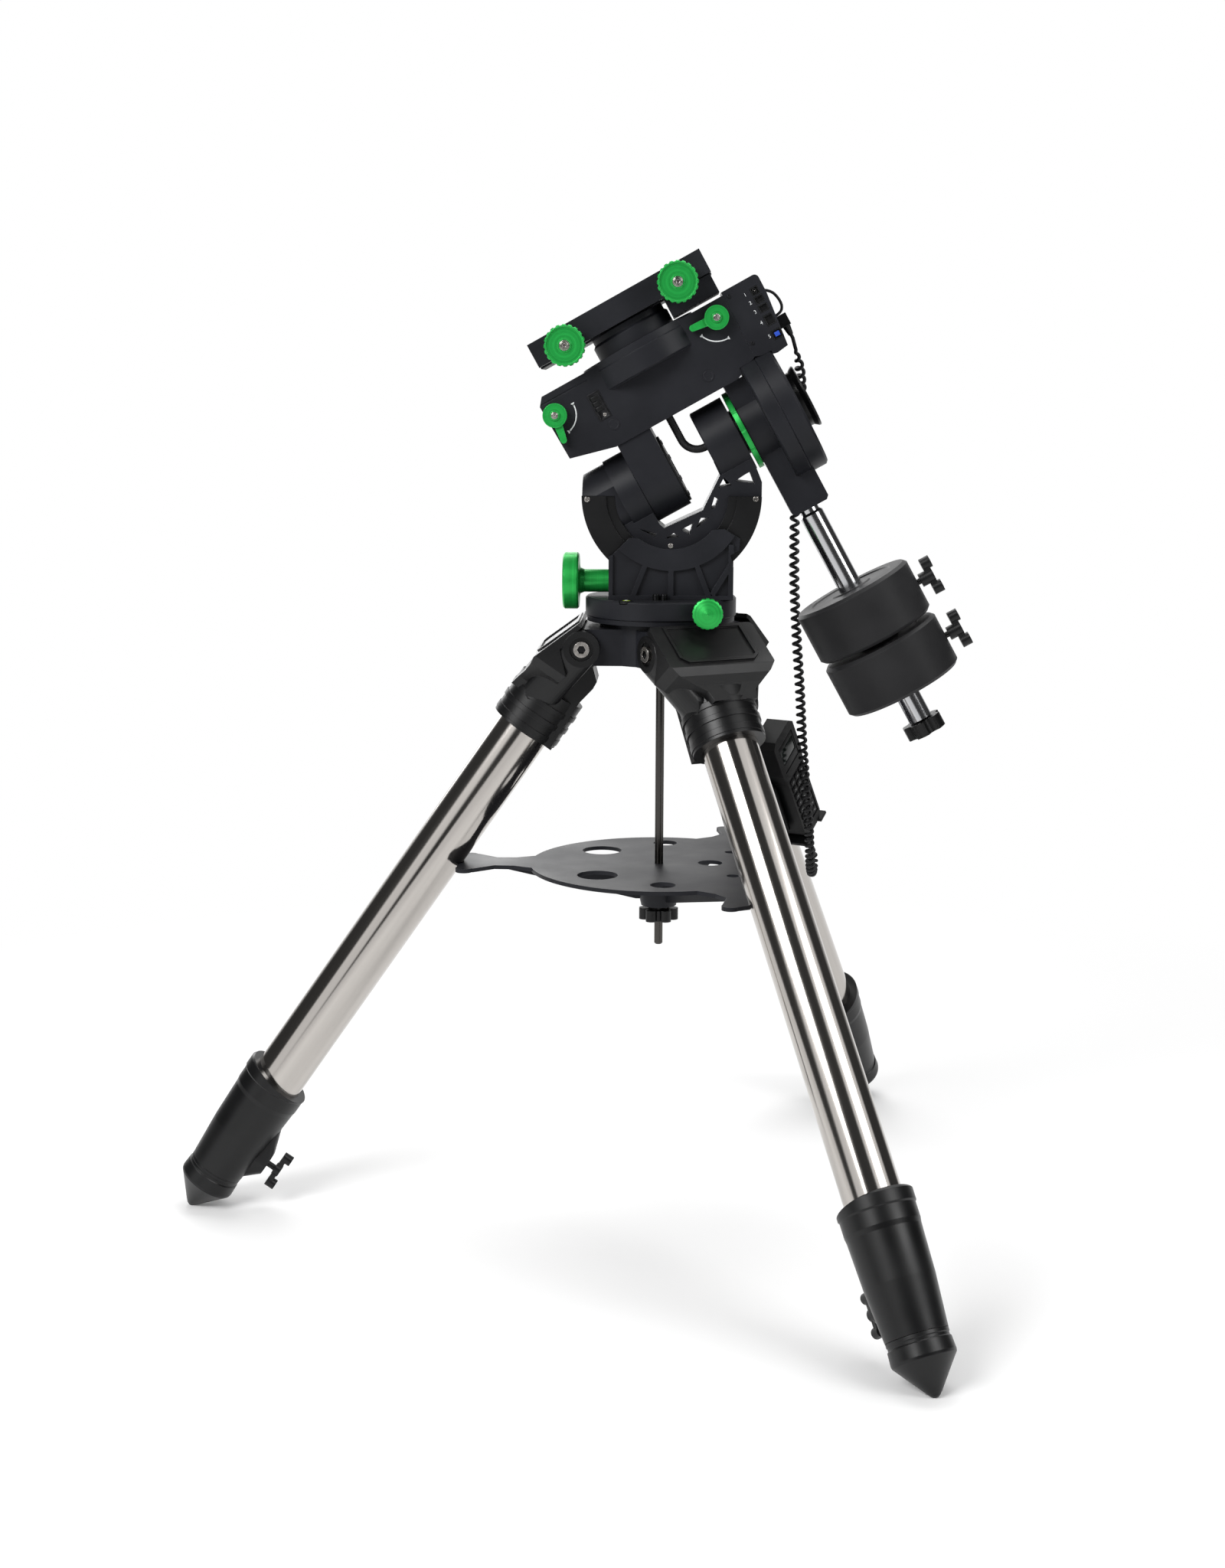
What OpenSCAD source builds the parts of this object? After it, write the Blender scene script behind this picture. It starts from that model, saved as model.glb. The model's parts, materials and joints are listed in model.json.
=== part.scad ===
// Centre-balanced equatorial mount on a three-legged field tripod.
// The origin is on the ground under the azimuth axis, with +Z up.
// +X points to the raised end of the polar axis, and -Y to the near side with the knobs.

/* [Tripod] */
// Outside diameter of the upper leg tubes
tube_d = 70; // [64:1:76]
// Wall of the leg tubes
tube_wall = 1.6; // [1.2:0.1:2.4]
// Outside diameter of the lower leg tubes
lower_tube_d = 62; // [54:1:63]
// Hip bolt to foot point, along a leg
leg_len = 933; // [850:1:1120]
// Lean of each leg from upright
leg_spread = 34.8; // [32:0.1:36]
// Distance of the hip bolts from the azimuth axis
hip_r = 98; // [96:1:104]
// Half width of a tongue of the tripod head
tongue_half = 62; // [56:1:66]
// Thickness of a hip cheek
cheek_t = 13; // [10:1:18]
// Diameter of the hip bolts
hip_bolt_d = 12; // [10:1:14]
// Wall of the hip sleeve round the tube
sleeve_wall = 11; // [8:0.5:12]
// Diameter of the centre rod
rod_d = 11; // [8:0.5:14]
// Radius of the tray's disc
tray_r = 168; // [150:1:185]
// Reach of the tray's arms to the leg tubes
tray_arm_r = 255; // [245:1:265]
// Thickness of the tray
tray_t = 5; // [4:0.5:8]

/* [Azimuth base] */
// Radius of the azimuth disc
disc_r = 96; // [94:1:104]
// Height of the azimuth disc
disc_h = 24; // [22:1:28]
// Diameter of the azimuth spigot
spigot_d = 40; // [30:1:46]
// Diameter of the azimuth knobs
az_knob_d = 38; // [30:1:44]
// Diameter of the altitude knob
alt_knob_d = 72; // [60:1:76]

/* [Altitude cradle] */
// Angle of the polar axis above level
latitude = 29; // [26:0.5:31]
// Room between the cradle's arc and the azimuth disc
arc_room = 16.5; // [14:0.5:26]
// Altitude axis ahead of the azimuth axis
alt_x = 13; // [8:1:16]
// Outer radius of the cradle's arc
arc_r = 112.5; // [108:0.5:114]
// Half depth of the lattice frame
frame_half = 36.5; // [32:0.5:36.5]
// Thickness of an arc rail
rail_t = 8.6; // [6:0.2:8.6]

/* [Polar axis] */
// Distance of the polar axis above the altitude axis
ra_b = 27; // [25:0.5:29]
// Radius of the fixed bearing drums
drum_r = 50; // [46:0.5:51]
// Radius of the bearing spigots
ra_spigot_r = 30; // [26:0.5:34]
// Radius of the sight tunnel through the polar axis
tunnel_r = 22; // [18:0.5:24]
// Radius of the north housing's large drum
housing_r = 87; // [82:1:88]
// Radius of the polar cap
cap_r = 40; // [34:1:44]

/* [Declination] */
// Declination axis along the polar axis, from the altitude axis
dec_a = 52; // [48:1:56]
// Half depth of the bar
bar_half = 52; // [50:0.5:54]
// Radius of the declination drum
dec_drum_r = 78; // [70:1:82]
// Radius of the rotor under the saddle
rotor_r = 52; // [44:1:56]
// Radius of the declination shaft
dec_shaft_r = 20; // [16:0.5:24]
// Length of the saddle
saddle_len = 240; // [220:1:280]
// Clear width of the saddle's channel at its top
channel_w = 76; // [60:1:80]
// Diameter of the saddle knobs
saddle_knob_d = 51; // [40:1:56]
// Distance between the saddle knobs
saddle_knob_gap = 157; // [130:1:175]

/* [Counterweights] */
// Counterweight shaft along the polar axis, from the altitude axis
cw_a = 143; // [138:1:148]
// Diameter of the counterweight shaft
cw_shaft_d = 31; // [24:0.5:34]
// Diameter of a counterweight
weight_d = 155.4; // [130:0.2:170]
// Thickness of a counterweight
weight_t = 70; // [50:1:72]

/* [Hand controller] */
// Length of the hand controller
handset_len = 180; // [150:1:190]
// Width of the hand controller
handset_w = 62; // [54:1:66]
// Thickness of the hand controller
handset_t = 33; // [24:1:36]
// Outer diameter of the cord's curls
curl_d = 14; // [12:0.2:15]
// Diameter of the cord
cord_d = 4.8; // [3.6:0.1:5]

/* [Hidden] */
$fn = 48;

// Colours
coat = "#2b2c30";
plastic = "#1b1b1d";
steel = "#c9c9c6";
green = "#2fb84a";
iron = "#3a3b3e";
bronze = "#b08d4a";

// Clearances: running fit of shafts, seat of fixed pieces, gap between moving faces
run = 0.06;
seat = 0.05;
gap = 0.4;

// Tripod, worked out from the legs
leg_az = [180, -60, 60];
hip_z = leg_len * cos(leg_spread);
tube_r = tube_d / 2;
lower_r = lower_tube_d / 2;
sleeve_r = tube_r + sleeve_wall;
sleeve_top = 70;
sleeve_end = 134;
tongue_r = 20;
tongue_low = 22;
tongue_high = 24;
fold_max = 15;
cheek_out = tongue_half + gap + cheek_t;
tube_top = 74;
cap_len = 68.6;
collar_end = leg_len - cap_len - gap;
collar_len = 161;
collar_top = collar_end - collar_len;
tube_end = collar_end - 9;
lock_t = collar_end - 41;
lock_face = 54;
lower_overlap = 550;
hub_plate_z = hip_z + 31;
hub_plate_t = 6;
hub_plate_r = disc_r - 2;
hub_top = hub_plate_z + hub_plate_t;
rod_low = tray_bottom_z() - 103;
rod_top = hip_z + 12;
function tray_top_z() =
    hip_z - (tray_arm_r - hip_r + (tube_r + gap) / cos(leg_spread)) / tan(leg_spread);
function tray_bottom_z() = tray_top_z() - tray_t;
tray_boss_h = 50;
tray_knob_top = tray_bottom_z() - tray_boss_h - gap;
tray_knob_h = 19;

// Azimuth base, from the tripod head upwards
disc_z = hub_top + gap;
disc_top = disc_z + disc_h;
peg_x = 59;
peg_r = 5;
peg_top = disc_top - 6;
screw_r = 4;
az_screw_z = disc_z + 12;
az_screw_tip = 12;
alt_z = disc_top + arc_room + arc_r;
wall_in = frame_half + 0.2 + rail_t + 0.7;
wall_t = 6;
collar_out = wall_in + 11;
worm_z = disc_top + 18.7;
worm_r = 9;
worm_shaft_r = 4.5;
worm_groove_half = 13;
sector_r = alt_z - worm_z - worm_r - 1;
tooth_deg = 4;
worm_pitch = sector_r * tooth_deg * PI / 180;
base_left = -65;
base_right = 91;
apron_in = 66;
apron_low = 93;
apron_from = 225;
apron_to = 328.5;

// Polar axis: places along it, from the altitude axis
south_end = -100;
south_step = -58;
bracket_from = -29.5;
bracket_to = 16;
bracket_r = 49;
north_from = 66;
north_to = 110;
ring_from = 113;
ring_to = 119.6;
neck_from = 120;
neck_to = 148;
housing_to = 192;
cap_to = 207;
cavity_r = 78;
ra_wheel_r = 52;
ra_wheel_from = 156;
ra_wheel_t = 12;
worm_in_r = 9;
worm_gap = 1;
ra_worm_b = ra_b - ra_wheel_r - worm_in_r - worm_gap;
ra_worm_a = ra_wheel_from + ra_wheel_t / 2;
worm_pin_r = 4;

// Bar and declination: places across the polar axis
bar_low = 86;
bar_top = 184;
box_top = 188;
bar_left = -89;
panel_a = 171;
panel_right = 220;
dec_drum_low = 150;
dec_drum_top = 186.6;
rotor_low = dec_drum_top + 0.8;
saddle_low = 214;
saddle_floor = 231;
saddle_top = 247;
dec_wheel_r = 42;
dec_wheel_low = 160;
dec_worm_a = dec_a - dec_wheel_r - worm_in_r - worm_gap;
jaw_out = 60;
base_edge = -30;
knob_b = 223.5;
jaw_travel = 8;
lever_face = bar_half + 0.4;
ra_lever_at = [152, 164];
dec_lever_at = [-79, 156];

// Counterweights: places down the shaft
block_low = -98;
block_from = -22;
block_to = 29;
block_half_y = 26;
shaft_end = -406;
weight_gap = 7;
upper_top = -213;
lower_top = upper_top - weight_t - weight_gap;
knob_reach = 104;

// Hand controller: places down the rear leg and to its near side
holder_t = 217;
handset_top = 162;
handset_y = -(tube_r + 10);

// Curly cord: round points by hand from the plug, round the north housing, to the handset
plug_in = 212;
plug_a = 226;
plug_b = 114;
plug_y = 26;
relief = 18;
cord_points = [
    [168, 30, 1136], [174, 50, 1114], [178, 78, 1086], [177, 101, 1050], [174, 109, 1000],
    [174, 110, 930], [175, 112, 840], [180, 120, 760], [186, 130, 690], [191, 142, 620],
    [197, 155, 560], [203, 168, 505], [206, 180, 464], [208, 193, 438], [211, 212, 422],
    [214, 232, 421], [215, 245, 434], [211, 242, 454]
];

cord_from = head_point(plug_a, plug_y, plug_b - 12 - seat);
cord_to = handset_end(relief + seat);
cord_route = concat([cord_from], cord_points, [cord_to]);

// Place in the frame of the polar axis, and place down a leg, in the part's frame
function head_point(a, y, b) = [alt_x + head_at(a, b)[0], y, alt_z + head_at(a, b)[1]];
function leg_point(az, inner, side, t) =
    let (r = hip_r + t * sin(leg_spread) - inner * cos(leg_spread))
    [r * cos(az) - side * sin(az), r * sin(az) + side * cos(az),
        hip_z - t * cos(leg_spread) - inner * sin(leg_spread)];

// Place on the hand controller's axis, past its lower end
function handset_end(past) =
    leg_point(leg_az[2], 0, handset_y - handset_t / 2, handset_top + handset_len + past);

curls = 76;
rings_per_curl = 8;
cord_sides = 6;

module rod_x(r, x0, x1) {
    translate([x0, 0, 0]) rotate([0, 90, 0]) cylinder(r = r, h = x1 - x0);
}

module rod_y(r, y0, y1) {
    translate([0, y1, 0]) rotate([90, 0, 0]) cylinder(r = r, h = y1 - y0);
}

module rod_z(r, z0, z1) {
    translate([0, 0, z0]) cylinder(r = r, h = z1 - z0);
}

// A flat outline in X and Z, made solid from y0 to y1
module slab_y(y0, y1) {
    translate([0, y1, 0]) rotate([90, 0, 0]) linear_extrude(y1 - y0) children();
}

// A flat outline in Y and Z, made solid from x0 to x1
module slab_x(x0, x1) {
    translate([x0, 0, 0]) rotate([90, 0, 90]) linear_extrude(x1 - x0) children();
}

// Frame of a leg: +Z down the leg from its hip bolt, +X to its inner side
module on_leg(az) {
    rotate([0, 0, az]) translate([hip_r, 0, hip_z]) rotate([0, 180 - leg_spread, 0]) children();
}

// Frame of the polar axis: +X along it, +Z along the declination axis, at the altitude axis
module on_head() {
    translate([alt_x, 0, alt_z]) rotate([0, -latitude, 0]) children();
}

// Frame of the polar axis, with its own line as X
module on_ra() {
    on_head() translate([0, 0, ra_b]) children();
}

module on_dec() {
    on_head() translate([dec_a, 0, 0]) children();
}

// Frame of the counterweight shaft, with +Z up the shaft
module on_shaft() {
    on_head() translate([cw_a, 0, 0]) children();
}

// Round knob along +Z with a scalloped rim
module scalloped(r, h, count, bite) {
    difference() {
        rotate_extrude() polygon([[0, 0], [r - 1.5, 0], [r, 1.5], [r, h - 1.5], [r - 1.5, h], [0, h]]);
        for (k = [0 : count - 1])
            rotate([0, 0, k * 360 / count]) translate([r + bite * 0.4, 0, -1]) cylinder(r = bite,
                h = h + 2, $fn = 16);
    }
}

// Tongue of the tripod head, seen along its hip bolt, grown by a clearance
module tongue_shape(grow) {
    union() {
        circle(r = tongue_r + grow);
        translate([-hip_r, -tongue_low - grow]) square([hip_r - 2,
            tongue_low + tongue_high + 2 * grow]);
    }
}

module tripod_hub() {
    color(coat) difference() {
        union() {
            for (az = leg_az)
                rotate([0, 0, az]) translate([hip_r, 0, hip_z])
                    slab_y(-tongue_half, tongue_half) tongue_shape(0);
            rod_z(hub_plate_r - 16, hip_z - tongue_low, hub_plate_z);
            rod_z(hub_plate_r, hub_plate_z, hub_top);
            rod_z(spigot_d / 2, hub_top, disc_top - 8);
            translate([peg_x, 0, 0]) rod_z(peg_r, hub_top, peg_top);
        }
        for (az = leg_az)
            rotate([0, 0, az]) translate([hip_r, 0, hip_z])
                rod_y(hip_bolt_d / 2 + seat, -tongue_half - 1, tongue_half + 1);
        rod_z(rod_d / 2 + seat, hip_z - tongue_low - 1, rod_top + 1);
        for (az = leg_az)
            rotate([0, 0, az + 180]) translate([tongue_r + 24, 0, hip_z - tongue_low - 1])
                cylinder(r = 13, h = 28);
    }
}

module center_rod() {
    color(steel) difference() {
        rod_z(rod_d / 2, rod_low, rod_top);
        difference() {
            rod_z(rod_d, rod_low - 1, rod_low + 1.5);
            translate([0, 0, rod_low - 1]) cylinder(r1 = rod_d / 2 - 2.5, r2 = rod_d / 2, h = 2.5);
        }
    }
}

module hip_bolts() {
    head_t = 5;
    head_out = cheek_out - 3 + gap;
    color(steel) for (az = leg_az)
        rotate([0, 0, az]) translate([hip_r, 0, hip_z]) difference() {
            union() {
                rod_y(hip_bolt_d / 2, -head_out, head_out);
                for (s = [-1, 1])
                    translate([0, s * (head_out + head_t / 2), 0]) rod_y(10, -head_t / 2, head_t / 2);
            }
            for (s = [-1, 1])
                translate([0, s * (head_out + head_t), 0]) rotate([90, 0, 0])
                    cylinder(r = 5.5, h = 6, center = true, $fn = 6);
        }
}

// Slot for a tongue in a hip casting, open for the whole fold of the leg
module slot_shape(grow) {
    high = tongue_high + grow;
    low = tongue_low + grow;
    union() {
        circle(r = tongue_r + grow);
        polygon([[-2, high], [-hip_r, high], turned(-hip_r, -low, fold_max), turned(-2, -low,
                 fold_max)]);
    }
}

function turned(x, y, ang) = [x * cos(ang) - y * sin(ang), x * sin(ang) + y * cos(ang)];

// Outer face of a hip casting, leaning in towards the tripod head
pad_lean = 19.4;
pad_foot = [-43.7, 42];

// Hip casting: a shield and two cheeks on the bolt, drawn together into a sleeve with clamp rings
module hip(az) {
    ring_t = 7;
    wedge_half = 34;
    wide = cheek_out - 1;
    color(plastic) on_leg(az) difference() {
        union() {
            intersection() {
                slab_y(-wide, wide)
                    polygon([[-10, 100], [-sleeve_r - 1.4, 100], [-sleeve_r - 1.4, 92], [-42.5, 66],
                             [-42, 54], pad_foot, [-20.5, -27], [-15, -24], [-21, -4], [-22, 16],
                             [4, 40]]);
                slab_x(-60, 10)
                    polygon([[-wide + 8, -33], [wide - 8, -33], [wide, -22], [wide, 40],
                             [wide - 9, 52], [34, 78], [30, 92], [-30, 92], [-34, 78],
                             [-wide + 9, 52], [-wide, 40], [-wide, -22]]);
            }
            for (s = [-1, 1]) hull() {
                translate([0, s * (tongue_half + gap + cheek_t / 2), 0])
                    rod_y(23, -cheek_t / 2, cheek_t / 2, $fn = 32);
                translate([-8, s * sleeve_r * 0.76, sleeve_top + 4])
                    rotate([90, 0, 0]) cylinder(r = 24, h = 14, center = true, $fn = 32);
            }
            rod_z(sleeve_r, sleeve_top, sleeve_end);
            for (t = [sleeve_top + 16, sleeve_top + 34])
                rod_z(sleeve_r + 1.6, t, t + ring_t);
            rod_z(sleeve_r + 1, sleeve_end - 12, sleeve_end - 4);
            slab_y(-wedge_half, wedge_half)
                polygon([[0, 30], [27, 16], [41, 28], [42, 38], [38, 63], [41, sleeve_end],
                         [0, sleeve_end]]);
            translate([tube_r + 2, -11, sleeve_top + 20]) cube([7, 22, sleeve_end - sleeve_top - 16]);
            hip_pad();
        }
        rod_z(tube_r + seat, tube_top, sleeve_end + 8);
        rod_z(tube_r - 4, sleeve_top - 16, tube_top + 1);
        rotate([0, leg_spread - 180, 0])
            slab_y(-tongue_half - gap, tongue_half + gap) slot_shape(gap + 0.2);
        rod_y(hip_bolt_d / 2 + run, -cheek_out - 1, cheek_out + 1);
        for (s = [-1, 1])
            translate([0, s * (cheek_out - 1.5), 0]) rod_y(15, -1.5, 1.6);
    }
}

// Rimmed pad on the leaning face of a hip casting
module hip_pad() {
    half = 56;
    rim = 4.5;
    tall = 70;
    translate([pad_foot[0], 0, pad_foot[1]]) rotate([0, -pad_lean, 0]) difference() {
        slab_x(-3, 4)
            polygon([[-half, -tall], [half, -tall], [half, -14], [half - 10, -5], [-half + 10, -5],
                     [-half, -14]]);
        slab_x(-4, -0.6)
            polygon([[-half + rim, -tall + rim], [half - rim, -tall + rim], [half - rim, -15],
                     [half - 12, -5 - rim], [-half + 12, -5 - rim], [-half + rim, -15]]);
    }
}

module tube(az) {
    color(steel) on_leg(az) difference() {
        rod_z(tube_r, tube_top, tube_end);
        rod_z(tube_r - tube_wall, tube_top - 1, tube_end + 1);
    }
}

// Clamp collar: a tapered sleeve with a rimmed mouth and a boss for the wing knob
module collar(az) {
    mouth = tube_r + 11.5;
    waist = tube_r + 9;
    tail = tube_r + 1.8;
    color(plastic) on_leg(az) difference() {
        union() {
            translate([0, 0, collar_top]) rotate_extrude()
                polygon([[0, 0], [mouth - 3, 0], [mouth, 4], [mouth, 18], [mouth - 1.5, 20],
                         [mouth - 1.5, 38], [waist, 44], [tail + 5, 100], [tail, collar_len],
                         [0, collar_len]]);
            hull() {
                translate([tube_r - 4, 0, collar_top + 62]) sphere(r = 9, $fn = 24);
                translate([tube_r - 9, 0, lock_t]) rod_x(17, 0, lock_face - tube_r + 9, $fn = 32);
                translate([tube_r - 8, 0, collar_end - 9]) sphere(r = 9, $fn = 24);
            }
        }
        translate([-mouth, -mouth - 1, collar_top]) rotate([0, -11.5, 0])
            translate([-20, 0, -60]) cube([2 * mouth + 50, 2 * mouth + 2, 60]);
        rod_z(tube_r + seat, collar_top - 1, tube_end + 0.2);
        rod_z(lower_r + gap, tube_end - 1, collar_end + 1);
        translate([0, 0, lock_t]) rod_x(screw_r + run, lower_r, lock_face + 20);
    }
}

// Lower leg: a thinner tube that slides out of the collar, with its pointed end cap
module lower_leg(az) {
    cap_r0 = tube_r + 1.6;
    cap_r1 = tube_r + 3;
    cap_z = leg_len - cap_len;
    color(plastic) on_leg(az) union() {
        difference() {
            rod_z(lower_r, cap_z - lower_overlap, cap_z + 10);
            rod_z(lower_r - tube_wall - 0.4, cap_z - lower_overlap - 1, cap_z - 4);
        }
        translate([0, 0, cap_z]) rotate_extrude()
            polygon([[0, 0], [cap_r0, 0], [cap_r0, 4], [cap_r0 - 0.8, 5], [cap_r0 - 0.8, 8],
                     [cap_r0 + 0.6, 9.5], [cap_r1, 24], [cap_r1 - 0.6, 27], [9, cap_len - 6],
                     [5, cap_len - 1.6], [2.5, cap_len], [0, cap_len]]);
    }
}

// Wing lock knob: a steel stud with a two-winged grip
module leg_lock(az) {
    wing = 27;
    wing_low = lock_face + 11;
    color(plastic) on_leg(az) translate([0, 0, lock_t]) union() {
        rod_x(screw_r, tube_r + 2, wing_low + 3);
        rod_x(8.5, wing_low, wing_low + 9);
        translate([wing_low + 1, 0, 0]) slab_x(0, 7) union() {
            translate([-5.5, -wing + 6]) square([11, 2 * wing - 12]);
            for (s = [-1, 1]) translate([0, s * (wing - 7)]) circle(r = 7);
        }
        for (s = [-1, 1])
            translate([wing_low + 1, 0, s * (wing - 7)]) rod_x(7, 0, 13);
    }
}

// Outline of the tray: a disc with three necked arms that end in forks round the leg tubes
module tray_shape() {
    union() {
        circle(r = tray_r);
        for (az = leg_az)
            rotate(az) union() {
                polygon([[0, -48], [tray_r - 14, -42], [tray_r + 20, -26], [tray_arm_r - 42, -25],
                         [tray_arm_r - 16, -46], [tray_arm_r + 6, -46], [tray_arm_r + 6, 46],
                         [tray_arm_r - 16, 46], [tray_arm_r - 42, 25], [tray_r + 20, 26],
                         [tray_r - 14, 42], [0, 48]]);
                for (s = [-1, 1]) translate([tray_arm_r - 4, s * 42]) circle(r = 11);
            }
    }
}

module tray() {
    big_hole = 26;
    small_hole = 16;
    pin_hole = 8;
    color(coat) difference() {
        union() {
            translate([0, 0, tray_bottom_z()]) linear_extrude(tray_t) tray_shape();
            for (az = leg_az)
                rotate([0, 0, az]) slab_y(-3, 3)
                    polygon([[20, tray_bottom_z() + 1], [tray_arm_r - 45, tray_bottom_z() + 1],
                             [tray_arm_r - 45, tray_bottom_z() - 2],
                             [30, tray_bottom_z() - tray_boss_h + 8],
                             [20, tray_bottom_z() - tray_boss_h + 8]]);
            translate([0, 0, tray_bottom_z() - tray_boss_h])
                cylinder(r1 = 23, r2 = 34, h = tray_boss_h + 1);
        }
        rod_z(rod_d / 2 + 0.4, tray_bottom_z() - tray_boss_h - 1, tray_top_z() + 1);
        for (az = leg_az)
            on_leg(az) rod_z(tube_r + gap, tube_top, tube_end);
        for (p = [[-77, 77, big_hole], [-77, -77, big_hole], [7, 130, small_hole], [7, -130,
            small_hole],
                  [67, 4, small_hole], [95, 73, pin_hole], [95, -73, pin_hole]])
            translate([p[0], p[1], tray_bottom_z() - 1]) cylinder(r = p[2], h = tray_t + 2);
    }
}

module tray_knob() {
    lobes = 6;
    lobe_at = 18;
    color(plastic) translate([0, 0, tray_knob_top - tray_knob_h]) difference() {
        union() {
            cylinder(r = 14, h = tray_knob_h);
            cylinder(r = lobe_at, h = tray_knob_h - 5);
            for (k = [0 : lobes - 1])
                rotate([0, 0, k * 360 / lobes]) translate([lobe_at, 0, 0]) cylinder(r = 7.5,
                    h = tray_knob_h - 4, $fn = 32);
        }
        translate([0, 0, -1]) cylinder(r = rod_d / 2 + run, h = tray_knob_h + 2);
    }
}

module azimuth_disc() {
    boss_from = 44;
    boss_to = 74;
    boss_y = 90;
    color(coat) difference() {
        union() {
            translate([0, 0, disc_z]) rotate_extrude()
                polygon([[0, 0], [disc_r - 1, 0], [disc_r, 1], [disc_r, disc_h - 2],
                         [disc_r - 2, disc_h], [0, disc_h]]);
            for (s = [-1, 1])
                translate([boss_from, s > 0 ? 56 : -boss_y, disc_z + 2])
                    cube([boss_to - boss_from, boss_y - 56, disc_h - 4]);
        }
        rod_z(spigot_d / 2 + run, disc_z - 1, disc_top - 7);
        translate([peg_x - 9, -az_screw_tip - 3, disc_z - 1])
            cube([18, 2 * az_screw_tip + 6, peg_top - disc_z + 3]);
        translate([peg_x, 0, az_screw_z]) rod_y(screw_r + run, -boss_y - 1, boss_y + 1);
        translate([-42, -78, disc_top - 4]) cylinder(r = 9, h = 5);
    }
}

// Azimuth knob: a screw with a knurled head and a coned face, on the near side
module az_knob(side) {
    head_from = 101;
    head_t = 17;
    color(green) translate([peg_x, 0, az_screw_z]) rotate([side * 90, 0, 0]) difference() {
        union() {
            rod_z(screw_r, az_screw_tip, head_from + 2);
            rod_z(9, 90 + gap, head_from + 1);
            translate([0, 0, head_from]) rotate_extrude()
                polygon([[0, 0], [az_knob_d / 2 - 2, 0], [az_knob_d / 2, 2],
                         [az_knob_d / 2, head_t - 3], [az_knob_d / 2 - 2, head_t - 2],
                         [0, head_t + 3]]);
        }
        for (k = [0 : 17])
            rotate([0, 0, k * 20]) translate([az_knob_d / 2 + 0.9, 0, head_from - 1]) cylinder(r = 1.7,
                h = head_t + 6, $fn = 16);
    }
}

// Place on a circle about the altitude axis, in X and Z
function about_alt(r, ang) = [alt_x + r * cos(ang), alt_z + r * sin(ang)];

// Side wall of the altitude base: from the disc up to the arc that the rails run behind
module wall_shape(inner) {
    difference() {
        polygon([
            [base_left, disc_top], [base_right, disc_top], [base_right, alt_z - 88], [base_right - 4,
                alt_z - 73],
            [base_right + 7, alt_z - 67], about_alt(101, apron_to), about_alt(inner + 12, apron_to),
            about_alt(inner, apron_to - 8), [alt_x, alt_z - inner], about_alt(inner, apron_from + 8),
            about_alt(inner + 8, apron_from), about_alt(104, apron_from), [base_left, alt_z - 76]
        ]);
        translate([alt_x, alt_z]) circle(r = inner);
    }
}

// Thick arc lip that holds a rail from outside
module lip_shape() {
    intersection() {
        wall_shape(apron_in);
        translate([alt_x, alt_z]) difference() {
            circle(r = apron_low);
            circle(r = apron_in);
        }
    }
}

// Fan of ribs between the arc lip and the foot of a wall
module fan_shape() {
    rib = 3.2;
    intersection() {
        wall_shape(apron_in);
        union() {
            for (f = [[-36, -9], [13, 13], [62, 35], [base_left + 2, base_left + 2], [base_right - 3,
                base_right - 3]])
                polygon([[f[0] - rib, disc_top], [f[0] + rib, disc_top], [f[1] + rib, alt_z - 60],
                         [f[1] - rib, alt_z - 60]]);
            polygon([[62, disc_top + 8], [67, disc_top + 4], [base_right + 4, alt_z - 80],
                     [base_right, alt_z - 74]]);
            translate([base_left, disc_top]) square([base_right - base_left, 5]);
        }
    }
}

module altitude_base() {
    color(coat) difference() {
        union() {
            for (s = [-1, 1]) {
                inside = s * wall_in;
                skin = s * (wall_in + wall_t);
                proud = s * collar_out;
                slab_y(min(inside, skin), max(inside, skin)) wall_shape(apron_in);
                slab_y(min(inside, proud), max(inside, proud)) lip_shape();
                slab_y(min(inside, proud), max(inside, proud)) fan_shape();
            }
            translate([base_left, -wall_in, disc_top])
                cube([base_right - base_left, 2 * wall_in, alt_z - disc_top - 76]);
        }
        translate([alt_x, 0, alt_z]) rod_y(arc_r + gap, -wall_in, wall_in);
        translate([0, 0, worm_z]) rod_x(worm_shaft_r + run, base_left - 1, base_right - 8);
        translate([0, 0, worm_z]) rod_x(worm_r + 2, alt_x - 52, alt_x + 52);
        translate([base_left + 14, -worm_groove_half + 2, worm_z])
            cube([base_right - base_left - 34, 2 * worm_groove_half - 4, 40]);
    }
}

// Altitude knob and its worm shaft, turned from one bar
module altitude_knob() {
    head_from = -124.4;
    head_t = 20;
    stem_r = 14.5;
    r = alt_knob_d / 2;
    color(green) translate([0, 0, worm_z]) rotate([0, 90, 0]) difference() {
        union() {
            translate([0, 0, head_from]) rotate_extrude()
                polygon([[0, 0], [r - 2, 0], [r, 2], [r, head_t - 2], [r - 2, head_t],
                         [stem_r + 8, head_t], [stem_r + 2, head_t + 2], [stem_r, head_t + 7],
                         [stem_r, base_left - head_from - gap],
                         [0, base_left - head_from - gap]]);
            rod_z(worm_shaft_r, base_left - 2, base_right - 10);
            rod_z(worm_r, alt_x - worm_pitch * 4.5, alt_x + worm_pitch * 5.5);
        }
        for (k = [-4 : 5])
            translate([0, 0, alt_x + k * worm_pitch]) rotate_extrude()
                polygon([[worm_r - 3, 0], [worm_r + 1, -2.6], [worm_r + 1, 2.6]]);
    }
}

// Place in the polar axis frame, turned into X and Z about the altitude axis
function head_at(a, b) = [a * cos(latitude) - b * sin(latitude), a * sin(latitude) + b * cos(latitude)];

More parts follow.
